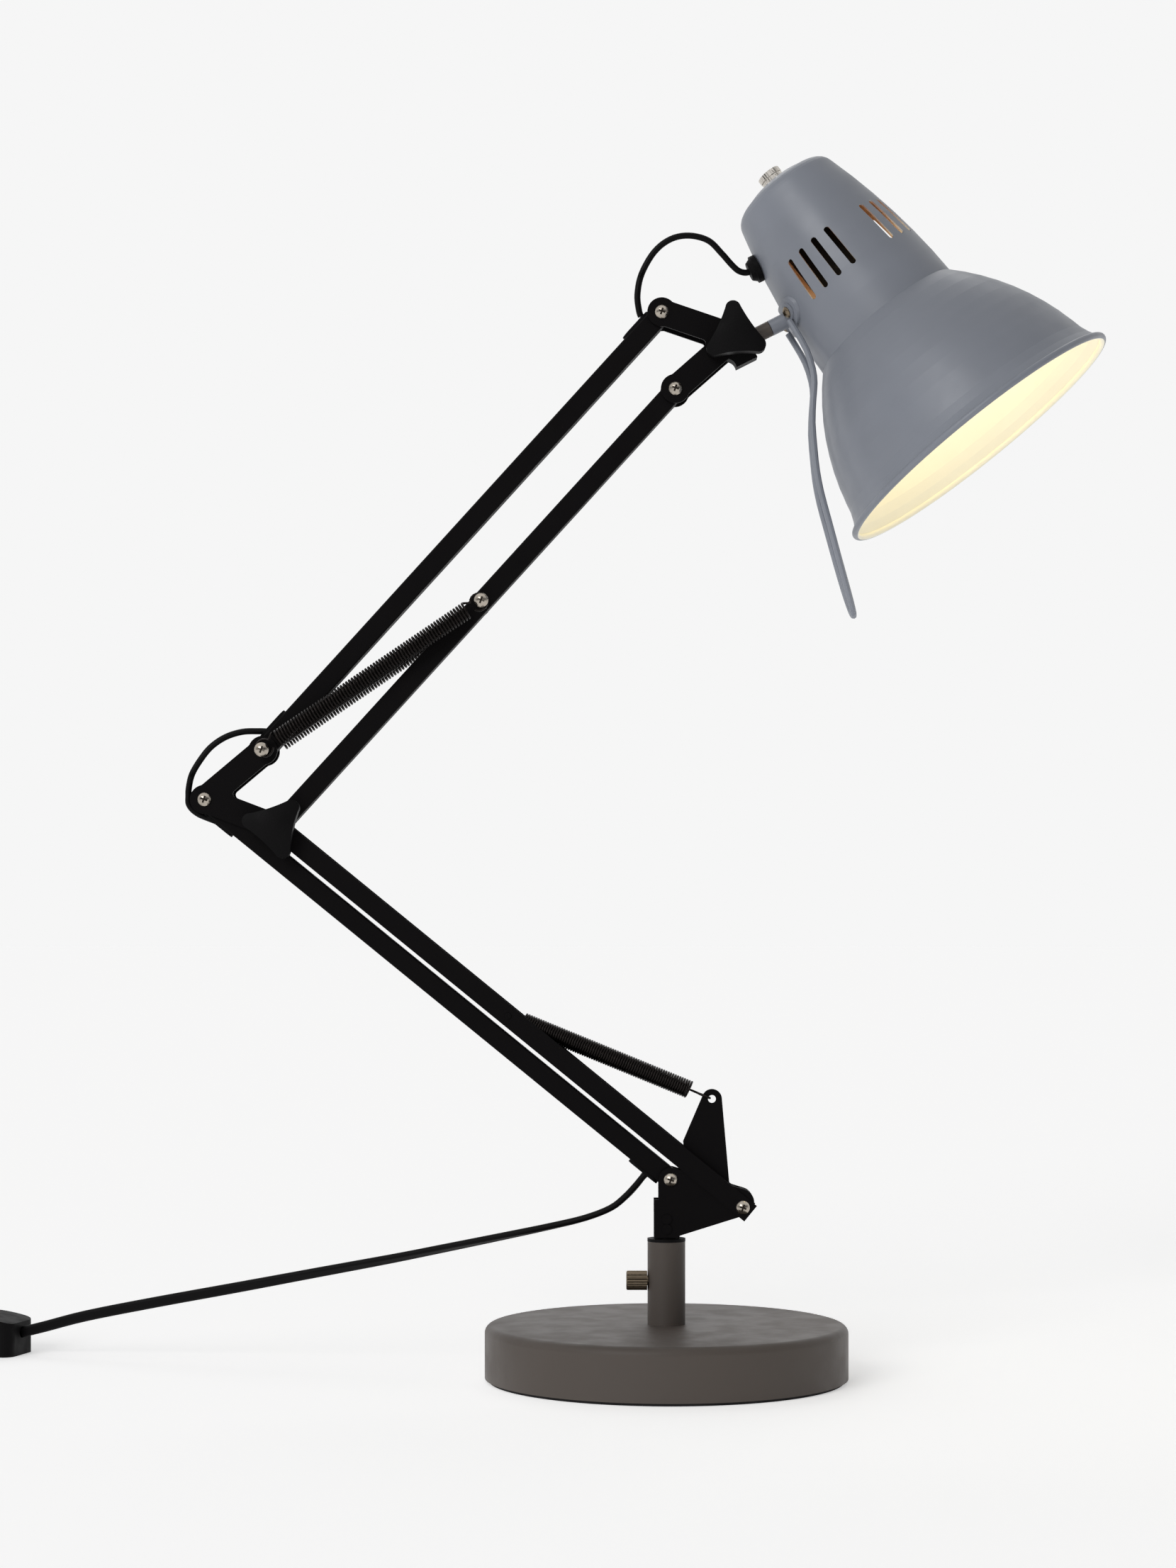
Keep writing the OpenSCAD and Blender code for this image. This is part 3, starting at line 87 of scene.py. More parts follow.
# the spring ear's hole and the springs' anchors on the lower and the upper arm
S1 = P2 + Vector((-15.2, 0, 54))
S2 = P2 + LOWER_ANCHOR * along(LOWER_ANGLE)
S4 = E2 + UPPER_ANCHOR * along(UPPER_ANGLE)

# the shade: its cap, its neck, its bell, and the bracket that holds it at the neck
CAP_H, NECK_L, BELL_L = 10.5, 82, 74.8
SHOULDER_R, NECK_R, NECK_SWELL = 28.6, 40.5, 2.5
BRACKET_DOWN, BRACKET_OUT = 60.5, 28.6
SHADE_TILT, SHADE_TURN = 79.3, -5.8


def turned_frame():
    """The spigot's frame: +X runs out along it, and the shade is turned a little on it."""
    out = along(SPIGOT_ANGLE)
    up = along(SPIGOT_ANGLE + 90)
    base = Matrix((out, Vector((0, 1, 0)), up)).transposed().to_4x4()
    turn = Matrix.Rotation(math.radians(SHADE_TURN), 4, "X")
    return Matrix.Translation(SPIGOT_START) @ base @ turn


def shade_frame():
    """The shade's frame: +Z runs from the cap's top to the mouth, +X is the spigot's side."""
    station_r = neck_radius(BRACKET_DOWN)
    reach = BRACKET_OUT + station_r / math.sin(math.radians(SHADE_TILT))
    down = BRACKET_DOWN + station_r / math.tan(math.radians(SHADE_TILT))
    return (turned_frame() @ Matrix.Translation((reach, 0, 0))
            @ Matrix.Rotation(math.radians(90 + SHADE_TILT), 4, "Y")
            @ Matrix.Translation((0, 0, -down)))


def neck_radius(z):
    """Radius of the neck this far below the cap's top. The neck swells in the middle."""
    share = (z - CAP_H) / NECK_L
    return (SHOULDER_R + (NECK_R - SHOULDER_R) * share
        + 4 * NECK_SWELL * share * (1 - share))


SHADE = shade_frame()
SHADE_L = CAP_H + NECK_L + BELL_L
print("cap top", [round(c, 1) for c in SHADE @ Vector((0, 0, 0))],
    "rim centre", [round(c, 1) for c in SHADE @ Vector((0, 0, SHADE_L))])

# %% [markdown]
# ## Camera
# A desk lamp is looked at from the side of its arms, from a little above the desk and
# about an arm's length and a half away. The lens is long, so the arms hardly converge. The
# camera looks level and its lens is shifted up a little, as an architect's is, so that
# upright things stay upright and the tall lamp still fits.

# %% Camera
scene = bpy.context.scene
camera = bpy.data.objects.new("camera", bpy.data.cameras.new("camera"))
scene.collection.objects.link(camera)
camera.data.lens = 72.9
camera.data.sensor_width = 36
camera.data.shift_y = 0.0887
camera.location = (-0.0395, -1.600, 0.230)
camera.rotation_euler = (math.radians(90), 0, 0)
camera.data.clip_start, camera.data.clip_end = 0.05, 60
scene.camera = camera
print("camera at", [round(c, 3) for c in camera.location])

# %% [markdown]
# ## Light
# The lamp stands on a pale sweep under a large soft source that comes from the upper
# left. Suns with a wide angle do that: their light doesn't weaken with distance, so the
# floor stays even. Floor and backdrop show their own pale colour to the camera and in
# reflections, and the floor still takes the lamp's shadow.

# %% A Python stand-in for shader sockets
class Signal:
    """A socket of a material's graph that takes part in Python sums."""

    def __init__(self, graph, socket):
        self.graph, self.socket = graph, socket

    def sum_with(self, operation, *others, flipped=False):
        terms = [self, *others][::-1] if flipped else [self, *others]
        return self.graph.node("ShaderNodeMath", {"operation": operation}, dict(enumerate(terms)))

    def __add__(self, other):
        return self.sum_with("ADD", other)

    def __sub__(self, other):
        return self.sum_with("SUBTRACT", other)

    def __rsub__(self, other):
        return self.sum_with("SUBTRACT", other, flipped=True)

    def __mul__(self, other):
        return self.sum_with("MULTIPLY", other)

    def __abs__(self):
        return self.sum_with("ABSOLUTE")

    def smaller(self, other):
        return self.sum_with("MINIMUM", other)

    def larger(self, other):
        return self.sum_with("MAXIMUM", other)

    def __lt__(self, other):
        return self.sum_with("LESS_THAN", other)

    __radd__ = __add__


class Graph:
    """The nodes of one material or world."""

    def __init__(self, owner):
        owner.use_nodes = True
        self.tree = owner.node_tree
        self.tree.nodes.clear()

    def node(self, kind, settings=None, inputs=None, output=0):
        made = self.tree.nodes.new(kind)
        for name, value in (settings or {}).items():
            setattr(made, name, value)
        for key, value in (inputs or {}).items():
            if isinstance(value, Signal):
                self.tree.links.new(value.socket, made.inputs[key])
            else:
                made.inputs[key].default_value = value
        return Signal(self, made.outputs[output])

    def place(self):
        return self.node("ShaderNodeTexCoord", output="Object")

    def xyz(self, vector=None):
        """The three coordinates of a place, each as a number."""
        return [self.node("ShaderNodeSeparateXYZ", None, {"Vector": vector or self.place()}, axis)
            for axis in "XYZ"]

    def noise(self, scale, detail=3):
        return self.node("ShaderNodeTexNoise", None, {"Vector": self.place(),
            "Scale": scale, "Detail": detail, "Roughness": 0.55}, "Fac")

    def spread(self, factor, low, high, to_low=0.0, to_high=1.0):
        return self.node("ShaderNodeMapRange", {"interpolation_type": "SMOOTHSTEP"}, {
            "Value": factor, "From Min": low, "From Max": high,
            "To Min": to_low, "To Max": to_high}, "Result")

    def blend(self, factor, a, b):
        return self.node("ShaderNodeMix", {"data_type": "RGBA"}, {0: factor, 6: a, 7: b}, 2)

    def bump(self, height, distance):
        return self.node("ShaderNodeBump", None, {"Height": height, "Distance": distance,
            "Strength": 1.0}, "Normal")


def rgb(*eight_bit):
    """A colour given as 0 to 255, as the light values that Blender mixes."""
    def light(c):
        return ((c / 255 + 0.055) / 1.055) ** 2.4 if c > 10 else c / 255 / 12.92

    return (*[light(c) for c in eight_bit], 1)


PAPER = rgb(246, 246, 246)
print("paper white as light:", [round(c, 3) for c in PAPER])

# %% World: the backdrop, the fill light and what metal mirrors
world = bpy.data.worlds.new("studio")
scene.world = world
g = Graph(world)
ray = g.tree.nodes.new("ShaderNodeLightPath")
camera_ray, glossy_ray, clear_ray = (Signal(g, ray.outputs[f"Is {kind} Ray"])
    for kind in ("Camera", "Glossy", "Transmission"))
# what is seen, directly, mirrored or through glass, is the sweep or the room, and what
# only lights the lamp is the fill
seen = camera_ray.larger(glossy_ray).larger(clear_ray)
backdrop = g.node("ShaderNodeBackground", None, {"Color": PAPER, "Strength": 1.0})
right, away, height = g.xyz(g.node("ShaderNodeTexCoord", output="Generated"))
# the fill is cool and comes from the left, and fades towards the right
fill = g.node("ShaderNodeBackground", None, {"Color": (0.97, 0.985, 1.0, 1),
    "Strength": g.spread(right, -0.4, 0.6, 0.46, 0.05)})
# mirrors show a dim room in front of the desk, and the bright sweep behind and above it
lit = g.spread(away, -0.75, 0.25) + g.spread(height, 0.25, 0.80)
room = g.node("ShaderNodeBackground", None, {"Color": PAPER,
    "Strength": (lit * 0.95 + 0.05).smaller(1.0)})
surroundings = g.node("ShaderNodeMixShader", None, {0: glossy_ray, 1: backdrop, 2: room})
chosen = g.node("ShaderNodeMixShader", None, {0: seen, 1: fill, 2: surroundings})
out = g.tree.nodes.new("ShaderNodeOutputWorld")
g.tree.links.new(chosen.socket, out.inputs["Surface"])
print("world:", world.name, "with", len(g.tree.nodes), "nodes")

# %% Floor and suns
FLOOR_HALF = 30
bm = bmesh.new()
bmesh.ops.create_grid(bm, x_segments=1, y_segments=1, size=FLOOR_HALF)
floor = bpy.data.objects.new("floor", bpy.data.meshes.new("floor"))
bm.to_mesh(floor.data)
bm.free()
scene.collection.objects.link(floor)
paper = bpy.data.materials.new("paper_sweep")
g = Graph(paper)
shown = g.node("ShaderNodeEmission", None, {"Color": PAPER, "Strength": 0.51})
matt = g.node("ShaderNodeBsdfDiffuse", None, {"Color": (0.97, 0.96, 0.95, 1)})
both = g.node("ShaderNodeAddShader", None, {0: shown, 1: matt})
out = g.tree.nodes.new("ShaderNodeOutputMaterial")
g.tree.links.new(both.socket, out.inputs["Surface"])
floor.data.materials.append(paper)


def sun(name, towards, strength, degrees):
    """A sun whose light travels this way. degrees is how wide it is, which softens shadows."""
    lamp = bpy.data.objects.new(name, bpy.data.lights.new(name, "SUN"))
    lamp.data.energy, lamp.data.angle = strength, math.radians(degrees)
    lamp.rotation_euler = Vector(towards).to_track_quat("-Z", "Y").to_euler()
    scene.collection.objects.link(lamp)
    return lamp


key = sun("key", (0.45, 0.75, -0.42), 1.0, 30)
back = sun("back", (0.10, -0.70, -0.75), 0.25, 35)
print("lights:", key.name, back.name)

# %% [markdown]
# ## Cords
# The lead is a flat twin flex, 5.8 by 3.2 mm and about 1.85 m long from the arm to its
# plug. It leaves the lower arm through a slotted guide, sags to the desk and ends at an
# in-line switch. Behind the switch the spare length is wound into a round coil with a
# tie, and the plug lies beside it. A curve with a flat section as its bevel makes it, and
# the tilt of the curve's points gives the flex its twist.

# %% Curves for cords and wires
def smooth_line(points, steps):
    """Points of a Catmull-Rom curve through the given ones, all in millimetres."""
    p = [Vector(q) for q in points]
    line = []
    for i in range(len(p) - 1):
        a, b, c, d = p[max(i - 1, 0)], p[i], p[i + 1], p[min(i + 2, len(p) - 1)]
        for k in range(steps):
            t = k / steps
            line.append(0.5 * (2 * b + (c - a) * t + (2 * a - 5 * b + 4 * c - d) * t * t
                + (3 * b - a - 3 * c + d) * t ** 3))
    return line + [p[-1]]


def length_of(line):
    return sum((b - a).length for a, b in zip(line, line[1:]))


def swept(name, line, width, thick=None, tilts=None, resolution=4):
    """A cord or wire along a line in millimetres. Its section is round, or flat if thick
    is given, and each point may have a tilt in degrees."""
    curve = bpy.data.curves.new(name, "CURVE")
    curve.dimensions, curve.use_fill_caps = "3D", True
    spline = curve.splines.new("POLY")
    spline.points.add(len(line) - 1)
    for i, q in enumerate(line):
        spline.points[i].co = (*[c * MM for c in q], 1)
        spline.points[i].tilt = math.radians(tilts[i]) if tilts else 0
    spline.use_smooth = True
    section = None
    if thick is None:
        curve.bevel_depth, curve.bevel_resolution = width / 2 * MM, resolution
    else:
        curve.twist_mode = "Z_UP"
        section = flat_section(width, thick)
        curve.bevel_mode, curve.bevel_object = "OBJECT", section
    source = bpy.data.objects.new(name, curve)
    scene.collection.objects.link(source)
    bpy.context.view_layer.update()
    mesh = bpy.data.meshes.new_from_object(source.evaluated_get(
        bpy.context.evaluated_depsgraph_get()))
    mesh.name = name
    for spare in (source, section):
        if spare:
            bpy.data.objects.remove(spare)
    made = bpy.data.objects.new(name, mesh)
    scene.collection.objects.link(made)
    return made


WAIST = 0.86


def flat_section(width, thick):
    """Outline of a twin flex: two round cores side by side under one sheath, which is a
    little thinner between them."""
    outline = bpy.data.curves.new("flex_section", "CURVE")
    outline.dimensions = "2D"
    spline = outline.splines.new("POLY")
    ring = []
    for side in (1, -1):
        for i in range(9):
            a = math.radians(-90 + 22.5 * i) if side > 0 else math.radians(90 + 22.5 * i)
            ring.append(((width - thick) / 2 * side + thick / 2 * math.cos(a),
                thick / 2 * math.sin(a)))
        ring.append((0, thick / 2 * WAIST * side))
    spline.points.add(len(ring) - 1)
    for i, (x, y) in enumerate(ring):
        spline.points[i].co = (x * MM, y * MM, 0, 1)
    spline.use_cyclic_u = True
    made = bpy.data.objects.new("flex_section", outline)
    scene.collection.objects.link(made)
    return made


def in_metres(line):
    return [tuple(c * MM for c in q) for q in line]


def eased(t):
    """0 before 0, 1 after 1, and smooth between them."""
    t = min(1, max(0, t))
    return t * t * (3 - 2 * t)


# %% Supply cord, from the arm to the switch
CORD_W, CORD_T = 5.8, 3.2
# the flex leaves its guide flat and turns on edge between these two places
FLAT_AT, ON_EDGE_AT = -30, -280
supply_line = smooth_line([
    (-10.9, 0, 103.3), (-12.4, 0, 101.5), (-15.5, 0.5, 97.6), (-20.5, 1.6, 92.2),
    (-28, 3.2, 86.2), (-41, 7, 80.8), (-59, 12, 76), (-84, 20, 70), (-112, 28.5, 63.5),
    (-140.5, 37, 57), (-180, 48.5, 48.6), (-222, 60, 39.7), (-266.5, 72, 30.5),
    (-305, 82.5, 22), (-328, 89.2, 15.5), (-341, 93, 12)], 4)
twist = [90 * min(1, max(0, (FLAT_AT - q.x) / (FLAT_AT - ON_EDGE_AT)))
    for q in supply_line]
supply = swept("supply_flex", supply_line, CORD_W, CORD_T, twist)
print("supply cord", round(length_of(supply_line)), "mm")

# %% Lead from the switch, coil and plug
COIL = Vector((-464, 87, 0))
COIL_TURNS, COIL_STEPS = 7.5, 22
OUTER_R, INNER_R, LAST_R = 34.7, 25.1, 38
# from turn to turn the flex, which lies on edge, moves in or out by this much
PITCH = 2.86
FLOOR_Z, LAYER_H = 3.1, 6.1
# it winds inwards, climbs on the lower layer, winds outwards and drops to the desk again,
# each given in turns from the start
INWARDS_TO, CLIMB_AT, OUTWARDS_FROM, DROP_AT = 3.5, 3.55, 4, 7.02


def coil_turns():
    """Four turns on the desk that wind inwards, and three and a half on top of them."""
    line = []
    for i in range(int(COIL_TURNS * COIL_STEPS) + 1):
        t = i / COIL_STEPS
        angle = math.radians(90) + 2 * math.pi * t
        below = OUTER_R - PITCH * min(t, INWARDS_TO)
        above = max(INNER_R + PITCH * (t - OUTWARDS_FROM), INNER_R)
        lift, drop = eased((t - CLIMB_AT) / 0.5), eased((t - DROP_AT) / 0.42)
        r = (below * (1 - lift) + above * lift) * (1 - drop) + LAST_R * drop
        z = FLOOR_Z + LAYER_H * lift * (1 - drop)
        line.append(COIL + Vector((r * math.cos(angle), r * math.sin(angle), z)))
    return line


turns = coil_turns()
lead_line = smooth_line([(-400.8, 109.8, 12), (-410, 112.4, 9.6), (-422, 115.8, 5.6),
    (-433, 118.8, 3.6), (-444, 121.0, 3.2), (-454, 121.9, 3.1)], 3)
plug_line = smooth_line([(-456, 49.0, 3.3), (-450, 49.0, 4.2), (-442, 49.0, 6.2),
    (-436, 49.0, 7.1), (-430.1, 49.0, 7.1)], 3)
whole_line = lead_line + turns[1:-1] + plug_line
lead = swept("lead_flex", whole_line, CORD_W, CORD_T, [90] * len(whole_line))
LEAD_L = length_of(whole_line)
print("lead", round(LEAD_L), "mm, so the whole cord is",
    round(LEAD_L + length_of(supply_line)), "mm")

# %% The cords' facts
swings_from, lies_from = in_metres([(-22, 0, 90), (-150, 40, 55)])
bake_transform(supply)
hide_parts("supply_cord")
in_metres(supply_line)[0]
round(length_of(supply_line) * MM, 3)
in_metres(supply_line)
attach(lead, "base")
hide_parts("lead_cord", "plug_cord", "cord_coil")
in_metres(whole_line)[0]
in_metres(whole_line)
print("free cords:", supply.name, lead.name)

# %% [markdown]
# ## Springs
# The arms are balanced by closed-wound tension springs. Each is one length of steel wire:
# an eye, a run of coils and another eye. A helix is easiest as a line that a round bevel
# follows.

# %% Wire springs
SPRING_D, WIRE_D = 9.4, 1.2
HELIX_STEPS, LEAVES_AT = 16, 0.86
# the eyes' mean radii, and the hole and the pin that the lower spring's eyes hang in and on
SMALL_EYE_R, SCREW_EYE_R = 3.2, 4.3
EAR_HOLE_R, HOLE_PLAY, PIN_R, PIN_PLAY = 2, 0.3, 1.6, 0.1
SIDE = Vector((0, 1, 0))


def eye(centre, r, away, v):
    """An open ring round centre in the plane of away and v, from its open end on."""
    return [centre + r * (v * math.sin(math.radians(q)) - away * math.cos(math.radians(q)))
        for q in range(330, 29, -20)]


def spring(name, a, b, coils, gaps, eyes, v_a, v_b):
    """Spring from a to b. The coils begin gaps[0] from a and end gaps[1] from b, eyes holds
    the two eyes' centres and their radius, and v_a and v_b say which way each eye opens."""
    axis = (b - a).normalized()
    up = axis.cross(SIDE).normalized()
    r, run = (SPRING_D - WIRE_D) / 2, (b - a).length - sum(gaps)
    first = 90 if v_a == SIDE else 0
    sweep = 360 * coils - first
    count = round(sweep * HELIX_STEPS / 360)
    helix = []
    for i in range(count + 1):
        q = math.radians(first + sweep * i / count)
        helix.append(a + axis * (gaps[0] + run * i / count)
            + r * (up * math.cos(q) + SIDE * math.sin(q)))
    # between an eye and the coils the wire runs just inside the last coil
    leave_a = a + axis * (gaps[0] - WIRE_D) + v_a * r * LEAVES_AT
    leave_b = b - axis * (gaps[1] - WIRE_D) + v_b * r * LEAVES_AT
    line = (eye(eyes[0], eyes[2], -axis, v_a) + [leave_a] + helix + [leave_b]
        + eye(eyes[1], eyes[2], axis, v_b)[::-1])
    made = swept(name, line, WIRE_D, resolution=2)
    print(name, round(run), "mm of coils, wire", round(length_of(line)), "mm long")
    return made


axis = (S2 - S1).normalized()
ear_eye = S1 + axis * (EAR_HOLE_R - WIRE_D / 2 - HOLE_PLAY + SMALL_EYE_R)
pin_eye = S2 - axis * (SMALL_EYE_R - WIRE_D / 2 - PIN_R - PIN_PLAY)
lower = spring("lower_spring_wire", S1, S2, 72, (12.2, 8.0),
    (ear_eye, pin_eye, SMALL_EYE_R), SIDE, axis.cross(SIDE).normalized())
in_metres([S1])[0]
in_metres([S1.lerp(S2, 0.85)])[0]
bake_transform(lower)
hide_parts("lower_spring")

# %% The pair of upper springs
SPRING_Y, EYE_HANG = 12, 1.6
uppers = []
for which, y in (("near", -SPRING_Y), ("far", SPRING_Y)):
    a, b = E3 + SIDE * y, S4 + SIDE * y
    axis = (b - a).normalized()
    up = axis.cross(SIDE).normalized()
    made = spring("upper_spring_wire_" + which, a, b, 69, (9, 9),
        (a + axis * EYE_HANG, b - axis * EYE_HANG, SCREW_EYE_R), up, up)
    in_metres([a])[0]
    in_metres([b])[0]
    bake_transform(made)
    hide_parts("upper_spring_" + which)
    uppers.append(made)

# %% [markdown]
# ## Cord loops
# The lead runs inside the arms and comes out in a free loop at the elbow and at the head,
# long enough for the joint to swing. A loop is cut where it is level with a pivot, into one
# part for each joint that it crosses.

# %% Loops at the elbow and the head
LOOP_D, LOOP_STEPS = 3.2, 5
# the gland stands a little to the far side, and the head loop leans over to it
GLAND_Y, LEANS_FROM, LEANS_OVER = 3.1, 24, 17
elbow_points = [(E1.x + x, E1.z + z) for x, z in [
    (6.9, -11.5), (3.4, -10.1), (-0.5, -8.6), (-3.8, -7.1), (-6.9, -4.7), (-8.7, -1.8),
    (-8.8, 1.7), (-8.6, 6.1), (-7.0, 12.9), (-2.8, 20.1), (2.6, 26.7), (10.0, 31.7),
    (18.4, 34.3), (26.5, 34.6), (30.2, 34.5)]]
head_points = [(H1.x + x, H1.z + z) for x, z in [
    (-10.4, -1.1), (-11.4, 2.3), (-12.1, 10.1), (-10.0, 20.4), (-3.6, 31.5), (4.6, 37.9),
    (13.9, 39.7), (23.6, 37.2), (30.4, 30.8), (35.2, 25.6), (38.8, 22.5), (42.4, 21.6),
    (45.5, 22.4), (48.5, 23.8)]]


def loop(name, points, cuts, bodies, node):
    """A loop of cord in as many parts as it crosses joints. cuts are point numbers."""
    line = smooth_line([(x, GLAND_Y * min(1, max(0, (x - LEANS_FROM) / LEANS_OVER)), z)
        for x, z in points], LOOP_STEPS)
    marks = [0, *[c * LOOP_STEPS for c in cuts], len(line) - 1]
    parts = []
    for i, (a, b) in enumerate(zip(bodies, bodies[1:])):
        # each part runs on a little into the next, which hides the cut
        made = swept(f"{name}_{i + 1}", line[max(marks[i] - 1, 0):marks[i + 1] + 2], LOOP_D)
        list(in_metres([line[marks[i]], line[marks[i + 1]]]))
        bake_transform(made)
        parts.append(made)
    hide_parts(node)
    print(name, round(length_of(line)), "mm in", len(parts), "parts")
    return parts


loops = loop("elbow_loop", elbow_points, [8], ["lower_arm_body", "elbow", "upper_arm_body"],
    "elbow_loop_cord")
loops += loop("head_loop", head_points, [3, 7],
    ["upper_arm_body", "head", "clamp", "shade_head"], "head_loop_cord")

# %% [markdown]
# ## Finishes
# The lamp has few finishes: satin paint on the base, stem, handle and shade, black powder
# coat on the arms, moulded plastic, nickel plate, spring steel and the soft sheath of the
# flex. Each gets its own small unevenness, because paint has an orange-peel surface and
# plate has fine scratches, and that is what makes light run over them as it should.

# %% Paint, plate and plastic
def material(name):
    made = bpy.data.materials.new(name)
    return made, Graph(made)


def close(g, shader_inputs, kind="ShaderNodeBsdfPrincipled"):
    """Ends a graph: one shader with these inputs, joined to the output."""
    shader = g.node(kind, None, shader_inputs)
    out = g.tree.nodes.new("ShaderNodeOutputMaterial")
    g.tree.links.new(shader.socket, out.inputs["Surface"])


def shades(colour, by):
    """A colour somewhat darker and somewhat lighter than the given one."""
    darker = (*[c * (1 - by) for c in colour[:3]], 1)
    lighter = (*[min(1, c * (1 + by)) for c in colour[:3]], 1)
    return darker, lighter


def paint(name, colour, roughness, peel, gloss=0.5, uneven=0.05):
    made, g = material(name)
    broad, fine = g.noise(14, 3), g.noise(900, 2)
    dark, light = shades(colour, uneven)
    close(g, {"Base Color": g.blend(g.spread(broad, 0.35, 0.65), dark, light),
        "Roughness": g.spread(g.noise(60, 4), 0.3, 0.7, roughness - 0.05, roughness + 0.06),
        "Specular IOR Level": gloss, "Normal": g.bump(fine, peel * MM)})
    return made


def plate(name, colour, roughness):
    made, g = material(name)
    scratches = g.spread(g.noise(700, 5), 0.3, 0.7, roughness, roughness + 0.14)
    close(g, {"Base Color": g.blend(g.spread(g.noise(300, 4), 0.35, 0.65), *shades(colour, 0.08)),
        "Metallic": 1.0, "Roughness": scratches, "Normal": g.bump(g.noise(2200, 2), 0.004 * MM)})
    return made


def plastic(name, colour, roughness, spark, gloss=0.4):
    made, g = material(name)
    close(g, {"Base Color": g.blend(g.spread(g.noise(40, 3), 0.3, 0.7), *shades(colour, 0.10)),
        "Roughness": g.spread(g.noise(120, 4), 0.3, 0.7, roughness - 0.05, roughness + 0.08),
        "Specular IOR Level": gloss, "Normal": g.bump(g.noise(1500, 2), spark * MM)})
    return made


warm_paint = paint("warm_grey_paint", rgb(83, 76, 71), 0.48, 0.020, 0.24, uneven=0.025)
black_coat = paint("black_powder_coat", rgb(9, 7, 8), 0.50, 0.030, 0.07)
cool_paint = paint("cool_grey_paint", rgb(130, 134, 143), 0.40, 0.016)
nickel = plate("nickel_plate", rgb(206, 201, 194), 0.13)
dark_nickel = plate("dark_nickel", rgb(120, 108, 92), 0.26)
steel = plate("dull_steel", rgb(128, 122, 116), 0.34)
spring_steel = plate("spring_wire_steel", rgb(36, 33, 32), 0.30)
knob_black = plastic("knob_plastic", rgb(9, 8, 9), 0.52, 0.030, 0.09)
moulded = plastic("moulded_plastic", rgb(8, 7, 8), 0.56, 0.012, 0.10)
rubber = plastic("foot_rubber", rgb(34, 33, 34), 0.8, 0.05, 0.2)
sheath = plastic("flex_sheath", rgb(7, 6, 7), 0.42, 0.006, 0.10)
iron = paint("cast_iron", rgb(84, 82, 80), 0.7, 0.2)
print("finishes:", [m.name for m in (warm_paint, black_coat, cool_paint, nickel, dark_nickel,
    steel, spring_steel, knob_black, moulded, rubber, sheath, iron)])

# %% [markdown]
# The shade is one spun shell with grey paint outside and warm white enamel inside. A
# surface whose normal points towards the shell's own axis is the inner one, so the two
# finishes are told apart by that, worked out from the place and the normal of each point.

# %% Two-sided shade
def sided_shade():
    made, g = material("shade_inside_and_outside")
    tip, axis = SHADE @ Vector((0, 0, 0)) * MM, (SHADE.to_3x3() @ Vector((0, 0, 1))).normalized()

    def vector(operation, a, b, output=0):
        return g.node("ShaderNodeVectorMath", {"operation": operation}, {0: a, 1: b}, output)

    normal = g.node("ShaderNodeTexCoord", output="Normal")
    from_tip = vector("SUBTRACT", g.place(), tuple(tip))
    down = vector("DOT_PRODUCT", from_tip, tuple(axis), "Value")
    along_axis = g.node("ShaderNodeVectorMath", {"operation": "SCALE"},
        {0: tuple(axis), "Scale": down})
    outwards = vector("SUBTRACT", from_tip, along_axis)
    outside = g.spread(vector("DOT_PRODUCT", vector("NORMALIZE", outwards, (0, 0, 0)), normal,
        "Value"), -0.06, -0.02)
    grey = g.blend(g.spread(g.noise(14, 3), 0.35, 0.65), *shades(rgb(125, 129, 138), 0.05))
    # painted shade: the enamel is painted darker and browner deep in the neck, round the
    # lampholder
    painted_neck_shade = g.spread(down, 42 * MM, 80 * MM)
    cream = g.blend(g.spread(g.noise(9, 3), 0.35, 0.65), *shades(rgb(254, 247, 223), 0.02))
    cream = g.blend(painted_neck_shade, rgb(176, 122, 82), cream)
    rough = g.spread(g.noise(60, 4), 0.3, 0.7, 0.36, 0.46)
    close(g, {"Base Color": g.blend(outside, cream, grey), "Roughness": rough,
        "Normal": g.bump(g.noise(900, 2), 0.016 * MM)})
    return made


shade_paint = sided_shade()
print("shade's finish:", shade_paint.name)

# %% [markdown]
# The lamp is on. The glass itself is the light: it glows evenly, so the inside of the
# shade is lit softly and the vent slots show a little of it.

# %% The lit bulb
bulb_light, g = material("lit_bulb_glass")
close(g, {"Color": rgb(255, 246, 226), "Strength": 3.4}, "ShaderNodeEmission")
print("light source:", bulb_light.name)

# %% [markdown]
# The arms turn on nickel-plated pan screws with a crossed recess. A recess is a place
# where light doesn't reach and polish doesn't either, so it shows dark. The mask repeats
# the two bars of each cross round its pivot, or the one bar of a slotted head. The two
# rivets of the yoke are painted over together with its plates, and are told apart by
# their place.

# %% Screws with a dark recess
BAR_HALF, CROSS_TURN = 0.45, 20


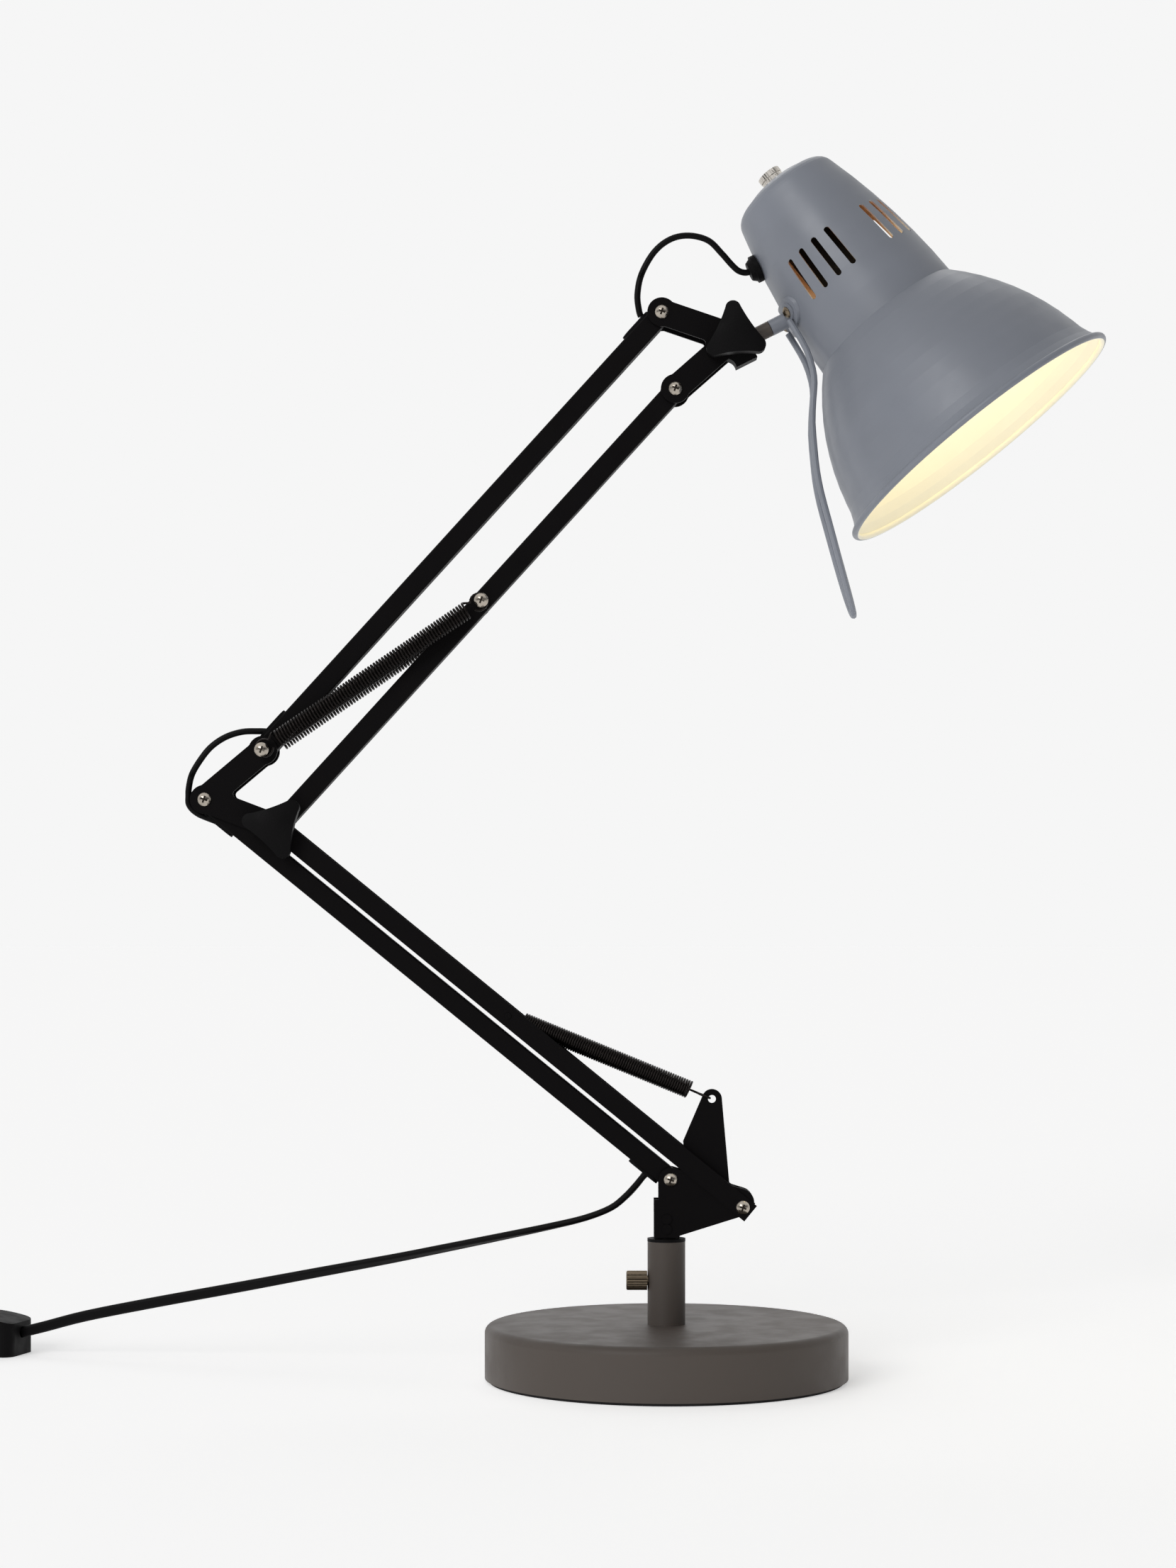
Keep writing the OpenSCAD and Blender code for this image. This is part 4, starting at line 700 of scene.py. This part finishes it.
def screws(name, centres, reach, painted_below=None):
    """Plate with a dark recess at each centre, of one bar or two, seen from the near side."""
    made, g = material(name)
    x, y, z = g.xyz()
    turn = math.radians(CROSS_TURN)
    crossed = 0
    for c, bars in centres:
        dx, dz = x - c.x * MM, z - c.z * MM
        along_bar = abs(dx * math.cos(turn) - dz * math.sin(turn))
        over_bar = abs(dx * math.sin(turn) + dz * math.cos(turn))
        across = along_bar.smaller(over_bar) if bars == 2 else along_bar
        in_reach = along_bar.larger(over_bar) < reach * MM
        crossed = crossed + (across < BAR_HALF * MM) * in_reach
    crossed = crossed * (y < 0)
    bright = g.blend(g.spread(g.noise(300, 4), 0.35, 0.65), *shades(rgb(176, 168, 157), 0.10))
    colour = g.blend(crossed, bright, rgb(58, 52, 46))
    metal = 1 - crossed * 0.5
    rough = g.spread(g.noise(700, 5), 0.3, 0.7, 0.18, 0.30) + crossed * 0.4
    if painted_below:
        painted = z < painted_below * MM
        colour = g.blend(painted, colour, rgb(9, 7, 8))
        metal, rough = metal * (1 - painted), rough + painted * 0.3
    close(g, {"Base Color": colour, "Metallic": metal, "Roughness": rough,
        "Specular IOR Level": 0.07})
    return made


yoke_screws = screws("yoke_screws", [(P1, 2), (P2, 2)], 1.75, painted_below=84.3)
elbow_screws = screws("elbow_screws", [(E1, 2), (E3, 1)], 1.8)
head_screws = screws("head_screws", [(H1, 2), (H2, 2)], 1.75)
anchor_screw = screws("anchor_screw", [(S4, 1)], 1.8)
print("screws:", [m.name for m in (yoke_screws, elbow_screws, head_screws, anchor_screw)])

# %% [markdown]
# ## Dressing the lamp
# Each finish lists the pieces that wear it. What is left over would keep the frame's plain
# grey, so the last line prints it: the soft solids that the cords and springs replace.

# %% Every piece gets its finish
finishes = {
    warm_paint: ["base_cover", "stem_tube", "stub_shaft"],
    rubber: ["base_pad"],
    iron: ["base_weight"],
    steel: ["stem_plug", "stem_bolt", "lampholder_nipple"],
    nickel: ["elbow_bolt", "head_bolt", "cap_nut", "bulb_cap", "plug_pins"],
    yoke_screws: ["yoke_fasteners"],
    elbow_screws: ["elbow_fasteners"],
    head_screws: ["head_fasteners"],
    anchor_screw: ["spring_screw"],
    black_coat: ["yoke_plates", "yoke_spigot", "spring_ear", "lower_tube", "lower_channel",
        "elbow_plates", "upper_tube", "upper_link_tube", "head_plates", "channel_pin"],
    moulded: ["stem_bush", "lower_cord_guides", "upper_cord_guides", "clamp_block",
        "lampholder", "cord_gland", "switch_base", "switch_cover", "switch_rocker",
        "plug_body", "coil_tie"],
    knob_black: ["elbow_knob", "head_knob"],
    sheath: ["lower_inner_cord", "upper_inner_cord"],
    dark_nickel: ["stem_thumb_screw", "bracket_screws"],
    cool_paint: ["swivel_tube", "shade_bracket", "wire_handle"],
    shade_paint: ["shade_shell"],
    bulb_light: ["bulb_glass"],
}
for finish, names in finishes.items():
    for name in names:
        nodes[name].data.materials.clear()
        nodes[name].data.materials.append(finish)
for piece in [supply, lead, *loops]:
    piece.data.materials.clear()
    piece.data.materials.append(sheath)
for piece in [lower, *uppers]:
    piece.data.materials.clear()
    piece.data.materials.append(spring_steel)
dressed = {n for names in finishes.values() for n in names}
print("without a finish:", sorted(set(nodes) - dressed))

# %% Finish
scene.view_settings.view_transform = "Standard"
